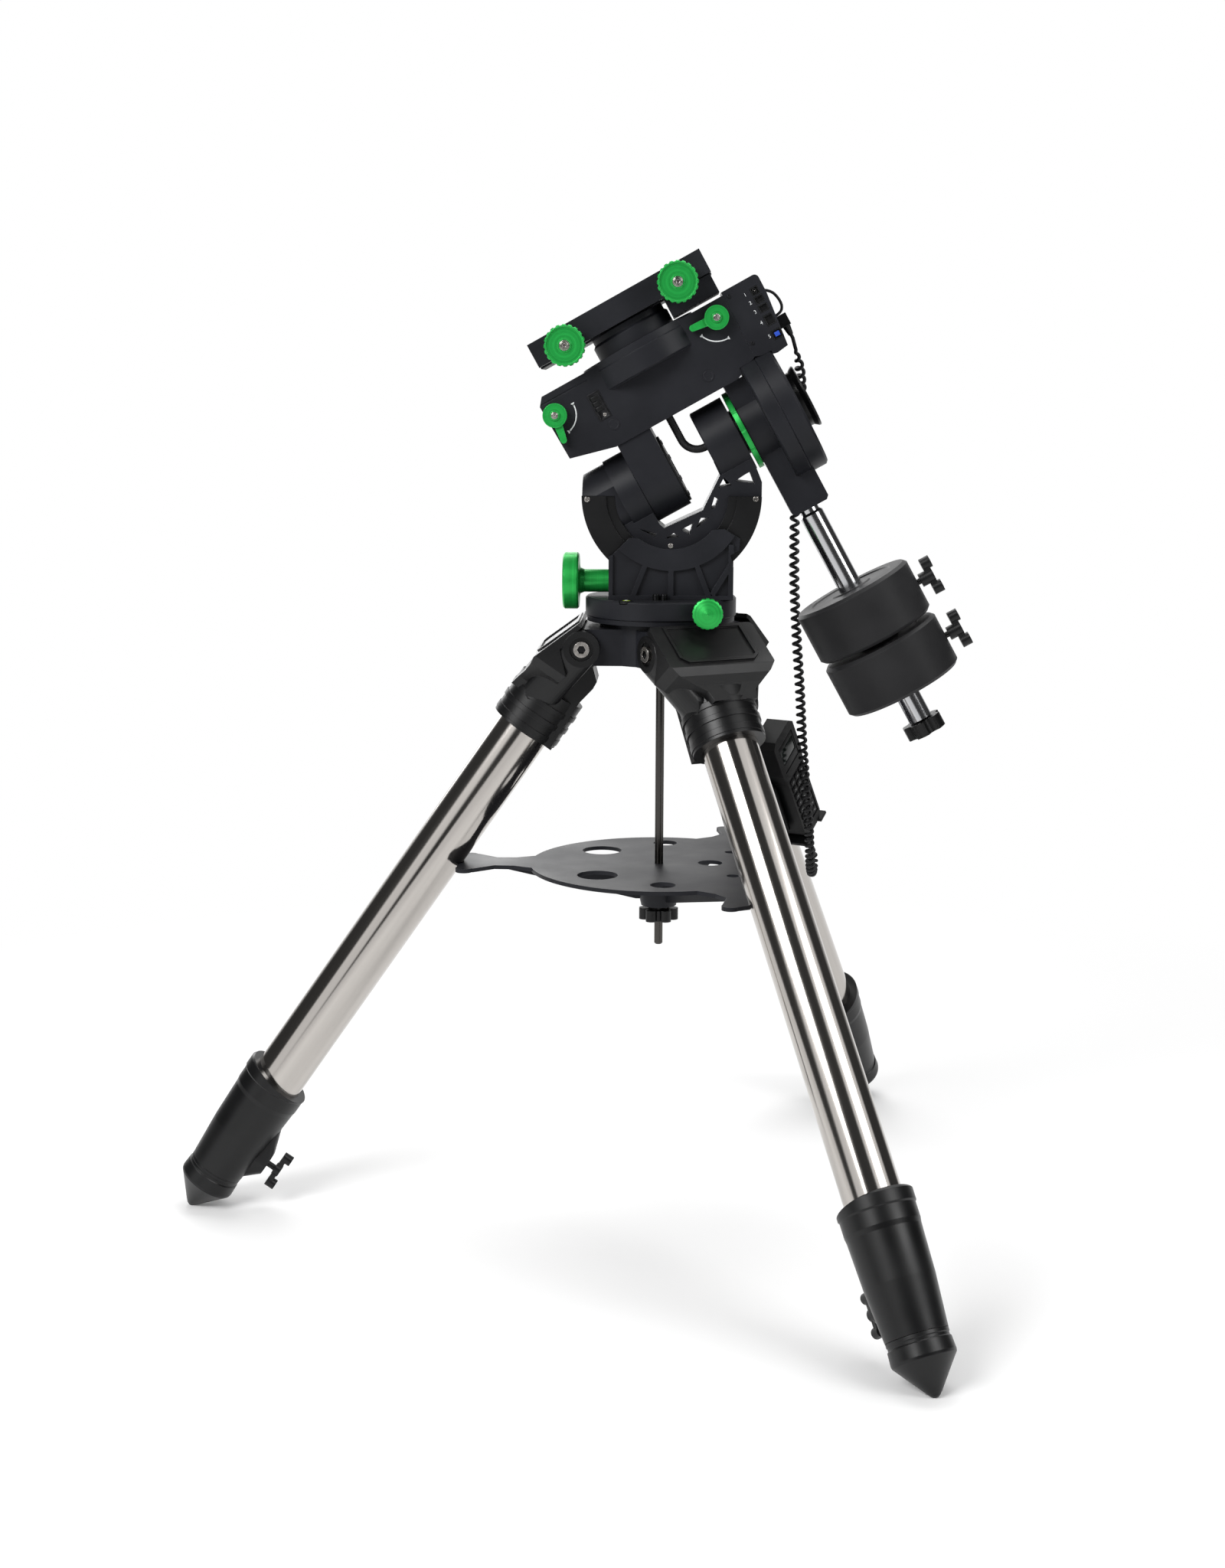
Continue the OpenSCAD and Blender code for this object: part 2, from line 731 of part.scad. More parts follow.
// Lattice cradle: an arc below, a floor along the polar axis, and two arms to the drums
module cradle_frame() {
    well = [
        [60, 25], [39, -18.5], [-9, -41],
        head_at(bracket_from - 1, ra_b - bracket_r - 2.4), head_at(bracket_from - 1, 15)
    ];
    holes = [
        [[79, 18], [97, 30], [103, 15]],
        [[58, 9], [65, 22], [75, 13]],
        [[49, -17], [53.5, -2], [58.5, -5], [55, -15]],
        [[31, -41], [37, -28], [47, -28]],
        [[12, -43], [27, -35], [23, -49]],
        [[-7, -54], [3, -47], [10, -52]],
        [[-41, -42], [-19, -48], [-20, -52]]
    ];
    color(coat) difference() {
        translate([alt_x, 0, alt_z]) slab_y(-frame_half, frame_half) difference() {
            union() {
                intersection() {
                    circle(r = arc_r);
                    translate([-arc_r, -arc_r]) square([2 * arc_r, arc_r]);
                }
                polygon(concat(
                    [[-arc_r, -1], [arc_r, -1], [arc_r, 17], head_at(north_to - 1, -20)],
                    [head_at(north_to - 1, 20), head_at(north_from, 20)], well));
            }
            polygon(concat(well, [head_at(20, 60)]));
            for (h = holes) polygon(h);
        }
        on_ra() rod_x(drum_r + seat, north_from - 0.5, north_to + 20);
        on_ra() rod_x(drum_r + 3, ring_from - 1, housing_to);
        on_ra() rod_x(drum_r + 0.5 + seat, south_step - seat, bracket_from + 30);
        on_ra() rod_x(drum_r - 2 + seat, south_end - 30, south_step + 1);
        translate([alt_x, 0, alt_z]) difference() {
            rod_y(arc_r + 5, -worm_groove_half, worm_groove_half);
            rod_y(sector_r, -worm_groove_half - 1, worm_groove_half + 1);
            translate([-arc_r - 10, -frame_half, -20]) cube([2 * arc_r + 20, 2 * frame_half, arc_r]);
        }
        translate([alt_x, 0, alt_z]) for (k = [-9.5 : 9.5])
            rotate([0, k * tooth_deg + 3, 0]) translate([0, 0, -sector_r])
                rotate([0, 45, 0]) cube([3.4, 2 * worm_groove_half - 6, 3.4], center = true);
    }
}

rail_step = 71;

// Two arc rails on the faces of the lattice frame, each with an inner step
module cradle_rails() {
    rail_in = 82;
    step_in = rail_step;
    from = frame_half + 0.2;
    color(plastic) translate([alt_x, 0, alt_z]) for (s = [-1, 1])
        rotate([0, 0, s > 0 ? 180 : 0]) union() {
            slab_y(-from - rail_t, -from) half_ring(rail_in, arc_r);
            slab_y(-from - rail_t * 0.55, -from) half_ring(step_in, rail_in + 1);
        }
}

module half_ring(r0, r1) {
    difference() {
        intersection() {
            circle(r = r1, $fn = 96);
            translate([-r1, -r1]) square([2 * r1, r1 - 1]);
        }
        circle(r = r0);
    }
}

module south_drum() {
    from = frame_half + 0.1;
    color(coat) difference() {
        union() {
            intersection() {
                on_ra() rod_x(drum_r - 2, south_end - 20, south_step + 1);
                translate([alt_x, 0, alt_z]) union() {
                    rod_y(arc_r - 0.5, -wall_in + 1.5, wall_in - 1.5);
                    translate([-arc_r + 0.5, -wall_in + 1.5, 0]) cube([200, 2 * wall_in - 3, 200]);
                }
            }
            on_ra() rod_x(drum_r + 0.5, south_step, bracket_from - gap);
            on_ra() rod_x(ra_spigot_r, bracket_from - 2, bracket_to - 6);
        }
        on_ra() rod_x(tunnel_r, south_end - 40, bracket_to + 10);
        translate([alt_x, 0, alt_z]) for (s = [-1, 1])
            translate([0, s > 0 ? from + 20 : -from, 0]) rotate([90, 0, 0]) linear_extrude(20)
                half_ring(rail_step - 0.2, arc_r + 20);
    }
}

module north_drum() {
    color(coat) on_ra() difference() {
        union() {
            rotate([0, 90, 0]) translate([0, 0, north_from]) rotate_extrude()
                polygon([[0, 0], [drum_r - 1.5, 0], [drum_r, 1.5], [drum_r, north_to - north_from],
                         [0, north_to - north_from]]);
            rod_x(ra_spigot_r, north_to - 1, ra_wheel_from + ra_wheel_t + 6);
        }
        rod_x(tunnel_r, north_from - 1, housing_to);
    }
}

// Worm wheel with plain tooth gaps across its rim
module worm_wheel(r, bore, t, teeth) {
    difference() {
        cylinder(r = r, h = t);
        translate([0, 0, -1]) cylinder(r = bore + seat, h = t + 2);
        for (k = [0 : teeth - 1])
            rotate([0, 0, k * 360 / teeth]) translate([r, 0, -1])
                rotate([0, 0, 45]) translate([-1, -1, 0]) cube([2, 2, t + 2]);
    }
}

module ra_wheel() {
    color(bronze) on_ra() translate([ra_wheel_from, 0, 0]) rotate([0, 90, 0])
        worm_wheel(ra_wheel_r, ra_spigot_r, ra_wheel_t, 60);
}

// Conduit from the bar's underside, round a quarter turn, into the north drum
module cable_loop() {
    loop_r = 22;
    loop_d = 10;
    loop_y = -20;
    from_a = north_from - 1 - loop_r;
    color(plastic) on_head() translate([0, loop_y, 0]) union() {
        translate([from_a, 0, 0]) rod_z(loop_d / 2, ra_b + 5 + loop_r, bar_low);
        translate([from_a + loop_r, 0, ra_b + 5 + loop_r]) rotate([90, 0, 0]) rotate([0, 0, 180])
            rotate_extrude(angle = 90) translate([loop_r, 0]) circle(r = loop_d / 2, $fn = 24);
        translate([0, 0, ra_b + 5]) rod_x(loop_d / 2, from_a + loop_r, north_from);
    }
}

// Worm: a ringed thread on a shaft, along Y
module worm(half, reach) {
    difference() {
        union() {
            rod_y(worm_in_r, -half, half);
            rod_y(worm_pin_r, -reach, reach);
        }
        for (y = [-half + 4 : 5.4 : half - 3])
            translate([0, y, 0]) rotate([90, 0, 0]) rotate_extrude()
                polygon([[worm_in_r - 2.4, 0], [worm_in_r + 1, -2.2], [worm_in_r + 1, 2.2]]);
    }
}

module ra_worm() {
    color(steel) on_head() translate([ra_worm_a, 0, ra_worm_b]) worm(24, 52);
}

module dec_worm() {
    color(steel) on_head() translate([dec_worm_a, 0, dec_wheel_low + 6]) worm(24, 44);
}

// Outline of the bar in the polar axis frame
module bar_shape() {
    polygon([[bar_left, 101], [-31, bar_low], [neck_from + 20, bar_low],
             [panel_a - 0.2, bar_low + 14], [panel_a - 0.2, bar_top], [-83, bar_top],
             [bar_left - 2, bar_top - 10]]);
}

module dec_housing() {
    lid_line = 9;
    color(coat) on_head() difference() {
        union() {
            slab_y(-bar_half, bar_half) bar_shape();
            translate([dec_a, 0, 0]) rotate_extrude()
                polygon([[0, dec_drum_low], [dec_drum_r - 2, dec_drum_low],
                         [dec_drum_r, dec_drum_low + 2], [dec_drum_r, dec_drum_top - 10],
                         [dec_drum_r - 1.2, dec_drum_top - 9], [dec_drum_r - 1.2, dec_drum_top],
                         [0, dec_drum_top]]);
        }
        translate([0, 0, ra_b]) rod_x(housing_r + seat, neck_to - 0.1, panel_a + 1);
        translate([dec_a, 0, 0]) rod_z(dec_shaft_r + run, 118, bar_top + 10);
        translate([dec_a, 0, 0]) rod_z(dec_wheel_r + 3, dec_wheel_low - 2, dec_wheel_low + 14);
        translate([dec_worm_a - 11, -30, dec_wheel_low - 6]) cube([24, 60, 24]);
        translate([dec_worm_a, 0, dec_wheel_low + 6]) rod_y(worm_pin_r + run, -46, 46);
        translate([-72, -21, 112]) cube([42, 42, 42]);
        translate([112, -21, 104]) cube([34, 42, 42]);
        for (s = [-1, 1])
            translate([bar_left - 20, s * bar_half, bar_top - lid_line]) rotate([45, 0, 0])
                translate([0, -0.7, -0.7]) cube([dec_a - dec_drum_r - bar_left + 22, 1.4, 1.4]);
    }
}

module drive_motors() {
    color(iron) on_head() for (m = [[-72, 112, 42], [112, 104, 34]])
        translate([m[0] + 0.3, -20.7, m[1] + 0.3]) union() {
            cube([m[2] - 0.6, 41.4, 34]);
            translate([m[2] / 2, 20.7, 33]) cylinder(r = 8, h = 8);
        }
}

module electronics_box() {
    wall = 3;
    color(coat) on_head() difference() {
        slab_y(-bar_half, bar_half) difference() {
            union() {
                polygon([[panel_a, bar_low + 14], [panel_right - 22, bar_low + 5],
                         [panel_right - 7, bar_low + 7], [panel_right, box_top - 26],
                         [panel_right, box_top - 6], [panel_right - 6, box_top],
                         [panel_a, box_top]]);
                translate([panel_right - 6, box_top - 6]) circle(r = 6);
            }
        }
        translate([0, 0, ra_b]) rod_x(housing_r + seat, panel_a - 1, housing_to + seat);
        slab_y(-bar_half + wall, bar_half - wall)
            polygon([[panel_a + wall, 120], [panel_right - 8, 120], [panel_right - 5, box_top - 8],
                     [panel_right - 9, box_top - 4], [panel_a + wall, box_top - 4]]);
        for (p = port_places()) translate([p[0], -bar_half - 1, p[1]]) port_pocket(p[2], p[3]);
        translate([plug_in, plug_y - 8 - seat, plug_b - seat]) cube([40, 16 + 2 * seat, 16 + 2 * seat]);
    }
}

// Sockets down the box's front edge: along, up, width and height of each
function port_places() = [
    [208, 170, 10, 10], [208, 158.5, 12, 9.4], [208, 147, 12, 9.4], [208, 131, 12, 14],
    [208, 111.5, 13, 12]
];

module port_pocket(w, h) {
    translate([-w / 2, 0, -h / 2]) cube([w, 4.6, h]);
}

// Sockets in the box's front, and the cord's plug on its right end
module port_connectors() {
    lip = 1.2;
    color(plastic) on_head() {
        for (p = port_places()) translate([p[0], -bar_half - 0.4, p[1]]) difference() {
            translate([-p[2] / 2 + seat, 0, -p[3] / 2 + seat])
                cube([p[2] - 2 * seat, 3.9, p[3] - 2 * seat]);
            translate([-p[2] / 2 + lip, -1, -p[3] / 2 + lip])
                cube([p[2] - 2 * lip, 4.2, p[3] - 2 * lip]);
        }
        translate([0, plug_y, 0]) union() {
            translate([plug_in + 0.2, -8, plug_b]) cube([plug_a - plug_in + 6, 16, 16]);
            translate([plug_a, 0, plug_b - 12]) cylinder(r1 = 3.2, r2 = 5.2, h = 13, $fn = 24);
        }
    }
}

module control_board() {
    board_a = panel_a + 3.3;
    color("#1f6b3a") on_head() union() {
        translate([board_a, -46, 122]) cube([1.8, 92, box_top - 4.4 - 122]);
        for (c = [[-30, 130], [6, 150], [24, 128]])
            translate([board_a + 1, c[0], c[1]]) cube([5, 18, 14]);
    }
}

module ra_ring() {
    color(green) on_ra() difference() {
        rod_x(drum_r + 2, ring_from, ring_to);
        rod_x(ra_spigot_r + gap, ring_from - 1, ring_to + 1);
        for (k = [0 : 11])
            rotate([k * 30, 0, 0]) translate([0, 0, drum_r + 3]) rod_x(2, ring_from - 1, ring_to + 1,
                $fn = 16);
    }
}

// North housing: a neck, a large drum in two halves, and the counterweight block below
module ra_housing() {
    seam = 169;
    color(coat) difference() {
        union() {
            on_ra() rod_x(drum_r - 2, neck_from, neck_to + 1);
            on_ra() rotate([0, 90, 0]) rotate_extrude()
                polygon([[0, neck_to], [housing_r - 2, neck_to], [housing_r, neck_to + 2],
                         [housing_r, seam - 0.8], [housing_r - 1, seam], [housing_r, seam + 0.8],
                         [housing_r, housing_to - 3], [housing_r - 3, housing_to],
                         [0, housing_to]]);
            on_shaft() translate([0, 0, block_low]) slab_y(-block_half_y, block_half_y)
                polygon([[block_from + 4, 0], [block_to - 4, 0], [block_to, 4], [block_to, 70],
                         [block_from + 2, 100], [block_from, 98], [block_from, 4]]);
            on_head() translate([neck_from, -40, ra_b]) cube([neck_to - neck_from + 1, 80,
                bar_low - ra_b - 0.05]);
        }
        on_ra() rod_x(ra_spigot_r + run, neck_from - 1, neck_to + 20);
        on_ra() rod_x(cavity_r, neck_to + 4, housing_to - 10);
        on_ra() rod_x(tunnel_r + 3, housing_to - 12, housing_to + 1);
        on_head() translate([ra_worm_a, 0, ra_worm_b]) rod_y(worm_pin_r + run, -54, 54);
        on_shaft() rod_z(cw_shaft_d / 2 - 5.5 + seat, block_low - 1, block_low + 30);
    }
}

// Polar cap on the end of the north housing, with a rolled rim and finger notches
module polar_cap() {
    from = housing_to + seat;
    color(plastic) on_ra() rotate([0, 90, 0]) rotate_extrude()
        polygon([
            [0, from], [cap_r - 4, from], [cap_r - 3.4, from + 7], [cap_r + 0.6, cap_to - 3],
            [cap_r + 1, cap_to - 1], [cap_r, cap_to], [cap_r - 2, cap_to], [cap_r - 6, cap_to - 4],
            [0, cap_to - 4]
        ]);
}

module south_bracket() {
    color(coat) on_ra() difference() {
        slab_x(bracket_from, bracket_to) union() {
            circle(r = bracket_r);
            translate([-bracket_r, 0]) square([2 * bracket_r, bar_low - ra_b - seat]);
        }
        rod_x(ra_spigot_r + run, bracket_from - 1, bracket_to + 1);
    }
}

module bracket_cover() {
    cover_r = 45;
    from = bracket_to + seat;
    color(iron) on_ra() difference() {
        rod_x(cover_r, from, from + 3);
        rod_x(tunnel_r, from - 1, from + 4);
        for (k = [0 : 7])
            rotate([k * 45 + 22, 0, 0]) translate([0, 0, cover_r - 6]) rod_x(3.6, from + 1.2, from + 4,
                $fn = 24);
    }
}

module counterweight_shaft() {
    r = cw_shaft_d / 2;
    color(steel) on_shaft() difference() {
        rotate_extrude()
            polygon([[0, shaft_end], [r - 1.5, shaft_end], [r, shaft_end + 1.5], [r, block_low - 9],
                     [r - 3, block_low - 6], [r - 3, block_low - 0.1], [r - 5.5, block_low - 0.1],
                     [r - 5.5, block_low + 28], [0, block_low + 28]]);
        rod_z(5 + run, shaft_end - 1, shaft_end + 24);
    }
}

module counterweight(top) {
    r = weight_d / 2;
    color(iron) on_shaft() translate([0, 0, top - weight_t]) difference() {
        rotate_extrude()
            polygon([[0, 0], [r - 4, 0], [r, 4], [r, weight_t - 4], [r - 4, weight_t],
                     [r - 22, weight_t], [r - 24, weight_t - 1.6],
                     [cw_shaft_d / 2 + 12, weight_t - 1.6], [cw_shaft_d / 2 + 10, weight_t],
                     [0, weight_t]]);
        rod_z(cw_shaft_d / 2 + 0.1, -1, weight_t + 1);
        translate([0, 0, weight_t / 2]) rod_x(screw_r + run, 5, r + 2);
    }
}

module weight_knob(top) {
    wing = 25;
    r = weight_d / 2;
    color(plastic) on_shaft() translate([0, 0, top - weight_t / 2]) union() {
        rod_x(screw_r, cw_shaft_d / 2 + 0.6, knob_reach - 8);
        rod_x(9, r + 4, knob_reach - 4);
        slab_x(knob_reach - 13, knob_reach - 4) union() {
            translate([-5.5, -wing + 7]) square([11, 2 * wing - 14]);
            for (s = [-1, 1]) translate([0, s * (wing - 8)]) circle(r = 8);
        }
        for (s = [-1, 1]) translate([0, 0, s * (wing - 8)]) rod_x(8, knob_reach - 13, knob_reach);
    }
}

module toe_knob() {
    knob_t = 18;
    color(plastic) on_shaft() union() {
        rod_z(5, shaft_end - 4, shaft_end + 20);
        translate([0, 0, shaft_end - gap - knob_t]) difference() {
            cylinder(r = 26, h = knob_t);
            for (k = [0 : 4])
                rotate([0, 0, k * 72]) translate([31, 0, -1]) cylinder(r = 10, h = knob_t + 2);
        }
    }
}

// Gear lever: a round hub with a tapered finger, on the bar's front face
module lever(at, ang) {
    hub_r = 15;
    hub_t = 15;
    reach = 35;
    color(green) on_head() translate([at[0], -lever_face, at[1]]) union() {
        rod_y(hub_r, -hub_t, 0);
        rod_y(6, -hub_t - 3, -hub_t + 1);
        rotate([0, ang, 0]) slab_y(-hub_t + 3, -4) union() {
            polygon([[0, -6], [reach - 3, -4], [reach - 3, 4], [0, 6]]);
            translate([reach - 3, 0]) circle(r = 4);
        }
    }
}

module ra_lever() {
    lever(ra_lever_at, 185);
}

module dec_lever() {
    lever(dec_lever_at, 99);
}

module dec_neck() {
    color(coat) on_dec() union() {
        rotate_extrude()
            polygon([[0, rotor_low], [rotor_r, rotor_low], [rotor_r, saddle_low - 10],
                     [rotor_r - 3, saddle_low - 7], [rotor_r - 3, saddle_low - seat],
                     [0, saddle_low - seat]]);
        rod_z(dec_shaft_r, 120, rotor_low + 1);
    }
}

module dec_wheel() {
    color(bronze) on_dec() translate([0, 0, dec_wheel_low])
        worm_wheel(dec_wheel_r, dec_shaft_r, 12, 48);
}

// Fixed half of the dovetail saddle: a floor, the far jaw, and a stiffening block below one end
module saddle() {
    half = saddle_len / 2;
    far = channel_w / 2;
    near = base_edge;
    color(coat) on_dec() difference() {
        union() {
            slab_x(-half, half)
                polygon([[near, saddle_low], [jaw_out, saddle_low], [jaw_out, saddle_top],
                         [far, saddle_top], [far + 4.3, saddle_floor], [near, saddle_floor]]);
            translate([rotor_r + 2, -44, saddle_low - 24]) cube([half - rotor_r - 4, 88, 25]);
        }
        for (s = [-1, 1])
            translate([s * saddle_knob_gap / 2, 0, knob_b]) rod_y(screw_r + 0.2, near - 1, jaw_out - 6);
        for (s = [-1, 1])
            translate([s * (half - 14), 0, saddle_low - 30]) cylinder(r = 3.3, h = 60);
    }
}

module saddle_jaw() {
    half = saddle_len / 2;
    near = -channel_w / 2;
    color(coat) on_dec() difference() {
        slab_x(-half, half)
            polygon([[-jaw_out, saddle_low + 2], [base_edge - gap, saddle_low + 2],
                     [base_edge - gap, saddle_floor + gap], [near - 4.3, saddle_floor + gap],
                     [near, saddle_top], [-jaw_out, saddle_top]]);
        for (s = [-1, 1])
            translate([s * saddle_knob_gap / 2, 0, knob_b]) rod_y(screw_r + run, -jaw_out - 1,
                base_edge + 1);
    }
}

module saddle_knob(s) {
    head_t = 15;
    stem = 14;
    color(green) on_dec() translate([s * saddle_knob_gap / 2, -jaw_out - gap, knob_b]) rotate([90, 0,
        0]) difference() {
        union() {
            rod_z(screw_r, -jaw_out - 34, stem + 1);
            rod_z(11, 0, stem + 1);
            translate([0, 0, stem]) scalloped(saddle_knob_d / 2, head_t, 20, 2.4);
        }
        translate([0, 0, stem + head_t - 2]) difference() {
            cylinder(r = saddle_knob_d / 2 - 3, h = 3);
            translate([0, 0, -1]) cylinder(r = 8, h = 5);
        }
    }
}

// Holder on the rear leg: a band round the tube and a tray with a lip for the hand controller
module handset_holder() {
    band = 5;
    plate_y = handset_y + gap;
    half = handset_w / 2;
    color(plastic) on_leg(leg_az[2]) difference() {
        union() {
            rod_z(tube_r + band, holder_t, holder_t + 24);
            translate([-half - 4, plate_y, holder_t - 30]) cube([2 * half + 8, 4, 130]);
            translate([-18, plate_y + 1, holder_t]) cube([36, -plate_y, 24]);
            for (s = [-1, 1])
                translate([s > 0 ? half + gap : -half - gap - 3.6, handset_y - 16, holder_t + 20])
                    cube([3.6, 18, 80]);
            for (s = [-1, 1])
                translate([s > 0 ? 16 : -half - 3, handset_y - handset_t - 3,
                    handset_top + handset_len + gap])
                    cube([half - 13, handset_t + 7, 4]);
        }
        rod_z(tube_r + seat, holder_t - 40, holder_t + 120);
    }
}

// Hand controller: a rounded case with a flared head, a key field and a cord strain relief
module handset_case() {
    half = handset_w / 2;
    tip = handset_top + handset_len;
    front = handset_y - handset_t - 1;
    color(plastic) on_leg(leg_az[2]) difference() {
        union() {
            translate([0, handset_y, 0]) slab_case(half);
            translate([0, handset_y - handset_t / 2, tip - 2])
                cylinder(r1 = 7, r2 = 3.2, h = relief + 2, $fn = 24);
        }
        translate([-half + 9, front, handset_top + 72]) cube([2 * half - 18, 2.4, 94]);
        translate([-half + 9, front, handset_top + 14]) cube([2 * half - 18, 2, 44]);
    }
}

module slab_case(half) {
    waist = half - 5;
    low = handset_top + handset_len;
    right = [
        [half - 8, handset_top], [half, handset_top + 8], [half, handset_top + 56],
        [waist, handset_top + 76], [waist, low - 10], [waist - 8, low]
    ];
    left = [for (i = [len(right) - 1 : -1 : 0]) [-right[i][0], right[i][1]]];
    slab_y(-handset_t, 0) polygon(concat(right, left));
}

// Smooth curve through the route's points, at place u counted in points
function route_at(u) =
    let (n = len(cord_route), i = min(floor(u), n - 2), t = u - i,
         p0 = cord_route[max(i - 1, 0)], p1 = cord_route[i], p2 = cord_route[i + 1],
             p3 = cord_route[min(i + 2, n - 1)])
    0.5 * (2 * p1 + (p2 - p0) * t + (2 * p0 - 5 * p1 + 4 * p2 - p3) * t * t
        + (3 * p1 - p0 - 3 * p2 + p3) * t * t * t);

function unit(v) = v / norm(v);

// Lengths along the route at fine steps, so that curls can be spread along it by length
route_fine = 12;
route_n = (len(cord_route) - 1) * route_fine;
route_pts = [for (k = [0 : route_n]) route_at(k / route_fine)];
function step_len(k) = k < route_n ? norm(route_pts[k + 1] - route_pts[k]) : 0;
route_len = [for (k = 0, s = 0; k <= route_n; s = s + step_len(k), k = k + 1) s];
cord_total = route_len[route_n];
function route_place(s) = lookup(s, [for (k = [0 : route_n]) [route_len[k], k / route_fine]]);

// Curls lie closer towards the lower end: length along the route for a share q of the turns
open_share = 0.3;
function curl_place(q) =
    cord_total * (lead + (1 - 2 * lead) * (q * (1 + open_share) - open_share * q * q));
lead = 0.02;

// Centre line of the curly cord: a helix about the route, drawn in to the line at both ends
curl_r = (curl_d - cord_d) / 2;
cord_steps = curls * rings_per_curl;
function swell(q) = min(1, min(q, 1 - q) * curls / 2.2);
function helix_point(k) =
    let (q = k / cord_steps, s = curl_place(q), u = route_place(s),
         tang = unit(route_at(min(u + 0.05, len(cord_route) - 1)) - route_at(max(u - 0.05, 0))),
         side = unit(cross(tang, [0.31, 0.95, 0.05])), other = cross(tang, side),
         turn = k * 360 / rings_per_curl)
    route_at(u) + swell(q) * curl_r * (cos(turn) * side + sin(turn) * other);
cord_line = concat(
    [cord_from, head_point(plug_a, plug_y, plug_b - 12 - cord_d)],
    [for (k = [0 : cord_steps]) helix_point(k)],
    [handset_end(relief + cord_d), cord_to]
);

// Least gap between turns, measured on the centre line most of a turn or more apart
turn_gap = min([for (i = [0 : len(cord_line) - 1], j = [i + 7 : 1 : len(cord_line) - 1])
                norm(cord_line[i] - cord_line[j])]) - cord_d;

function ring_at(i) =
    let (n = len(cord_line), a = cord_line[max(i - 1, 0)], b = cord_line[min(i + 1, n - 1)],
         tang = unit(b - a),
         side = unit(cross(tang, [0.31, 0.95, 0.05])), other = cross(tang, side))
    [for (k = [0 : cord_sides - 1])
        cord_line[i]
            + cord_d / 2 * (cos(k * 360 / cord_sides) * side + sin(k * 360 / cord_sides) * other)];

module handset_cord() {
    n = len(cord_line);
    rings = [for (i = [0 : n - 1]) each ring_at(i)];
    walls = [for (i = [0 : n - 2], k = [0 : cord_sides - 1])
        let (a = i * cord_sides + k, b = i * cord_sides + (k + 1) % cord_sides)
        each [[a, b, b + cord_sides], [a, b + cord_sides, a + cord_sides]]];
    first = [for (k = [1 : cord_sides - 2]) [0, k + 1, k]];
    last = [for (k = [1 : cord_sides - 2]) (n - 1) * cord_sides * [1, 1, 1] + [0, k, k + 1]];
    echo(cord_length = cord_total, turn_gap = turn_gap);
    color(plastic) polyhedron(points = rings, faces = concat(walls, first, last), convexity = 10);
}

tripod_hub();
center_rod();
hip_bolts();
hip(leg_az[0]);  // hip_left
hip(leg_az[1]);  // hip_front
hip(leg_az[2]);  // hip_rear
tube(leg_az[0]);  // tube_left
tube(leg_az[1]);  // tube_front
tube(leg_az[2]);  // tube_rear
collar(leg_az[0]);  // collar_left
collar(leg_az[1]);  // collar_front
collar(leg_az[2]);  // collar_rear
lower_leg(leg_az[0]);  // lower_leg_left
lower_leg(leg_az[1]);  // lower_leg_front
lower_leg(leg_az[2]);  // lower_leg_rear
leg_lock(leg_az[0]);  // leg_lock_left
leg_lock(leg_az[1]);  // leg_lock_front
leg_lock(leg_az[2]);  // leg_lock_rear
tray();
tray_knob();
azimuth_disc();
altitude_base();
az_knob(1);  // az_knob_near
az_knob(-1);  // az_knob_far
altitude_knob();
cradle_frame();
cradle_rails();
south_drum();
north_drum();
ra_wheel();
cable_loop();
dec_housing();
electronics_box();
port_connectors();
ra_ring();
ra_housing();
polar_cap();
south_bracket();
bracket_cover();
counterweight_shaft();
control_board();
drive_motors();
ra_worm();
dec_worm();
ra_lever();
dec_lever();
dec_neck();
dec_wheel();
saddle();
saddle_jaw();
saddle_knob(-1);  // saddle_knob_south
saddle_knob(1);  // saddle_knob_north
counterweight(upper_top);  // weight_upper
counterweight(lower_top);  // weight_lower
weight_knob(upper_top);  // weight_knob_upper
weight_knob(lower_top);  // weight_knob_lower
toe_knob();
handset_holder();
handset_case();
handset_cord();
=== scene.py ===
"""Looks of an equatorial mount on a field tripod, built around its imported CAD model."""
import json
import math

import bpy
from bpy.props import FloatProperty, FloatVectorProperty, IntProperty, PointerProperty
from mathutils import Matrix, Vector


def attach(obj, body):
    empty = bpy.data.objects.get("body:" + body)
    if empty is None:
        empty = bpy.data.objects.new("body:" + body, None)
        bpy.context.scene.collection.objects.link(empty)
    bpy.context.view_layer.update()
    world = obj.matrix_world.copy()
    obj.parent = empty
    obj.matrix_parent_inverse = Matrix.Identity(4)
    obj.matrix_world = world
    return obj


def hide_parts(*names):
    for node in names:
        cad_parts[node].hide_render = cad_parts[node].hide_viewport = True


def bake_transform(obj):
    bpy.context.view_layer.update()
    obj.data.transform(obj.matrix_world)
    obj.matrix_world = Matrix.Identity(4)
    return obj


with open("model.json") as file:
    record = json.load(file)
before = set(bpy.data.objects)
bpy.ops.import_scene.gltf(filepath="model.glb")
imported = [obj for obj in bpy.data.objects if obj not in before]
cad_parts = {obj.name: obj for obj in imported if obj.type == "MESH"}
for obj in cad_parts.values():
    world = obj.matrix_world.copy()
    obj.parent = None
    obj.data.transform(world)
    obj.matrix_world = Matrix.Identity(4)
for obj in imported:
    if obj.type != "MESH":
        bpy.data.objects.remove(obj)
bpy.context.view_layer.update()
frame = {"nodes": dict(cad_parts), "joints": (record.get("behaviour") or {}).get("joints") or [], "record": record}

bl_info = {
    "name": "Equatorial mount looks",
    "version": (1, 0, 0),
    "blender": (4, 5, 0),
    "location": "3D View > Sidebar > Mount",
    "description": "Finishes, cords and small fittings of an equatorial mount on a field tripod",
    "category": "Object",
}

MM = 0.001
JOINTS = {joint["name"]: joint for joint in frame["joints"]}
NODES = frame["nodes"]

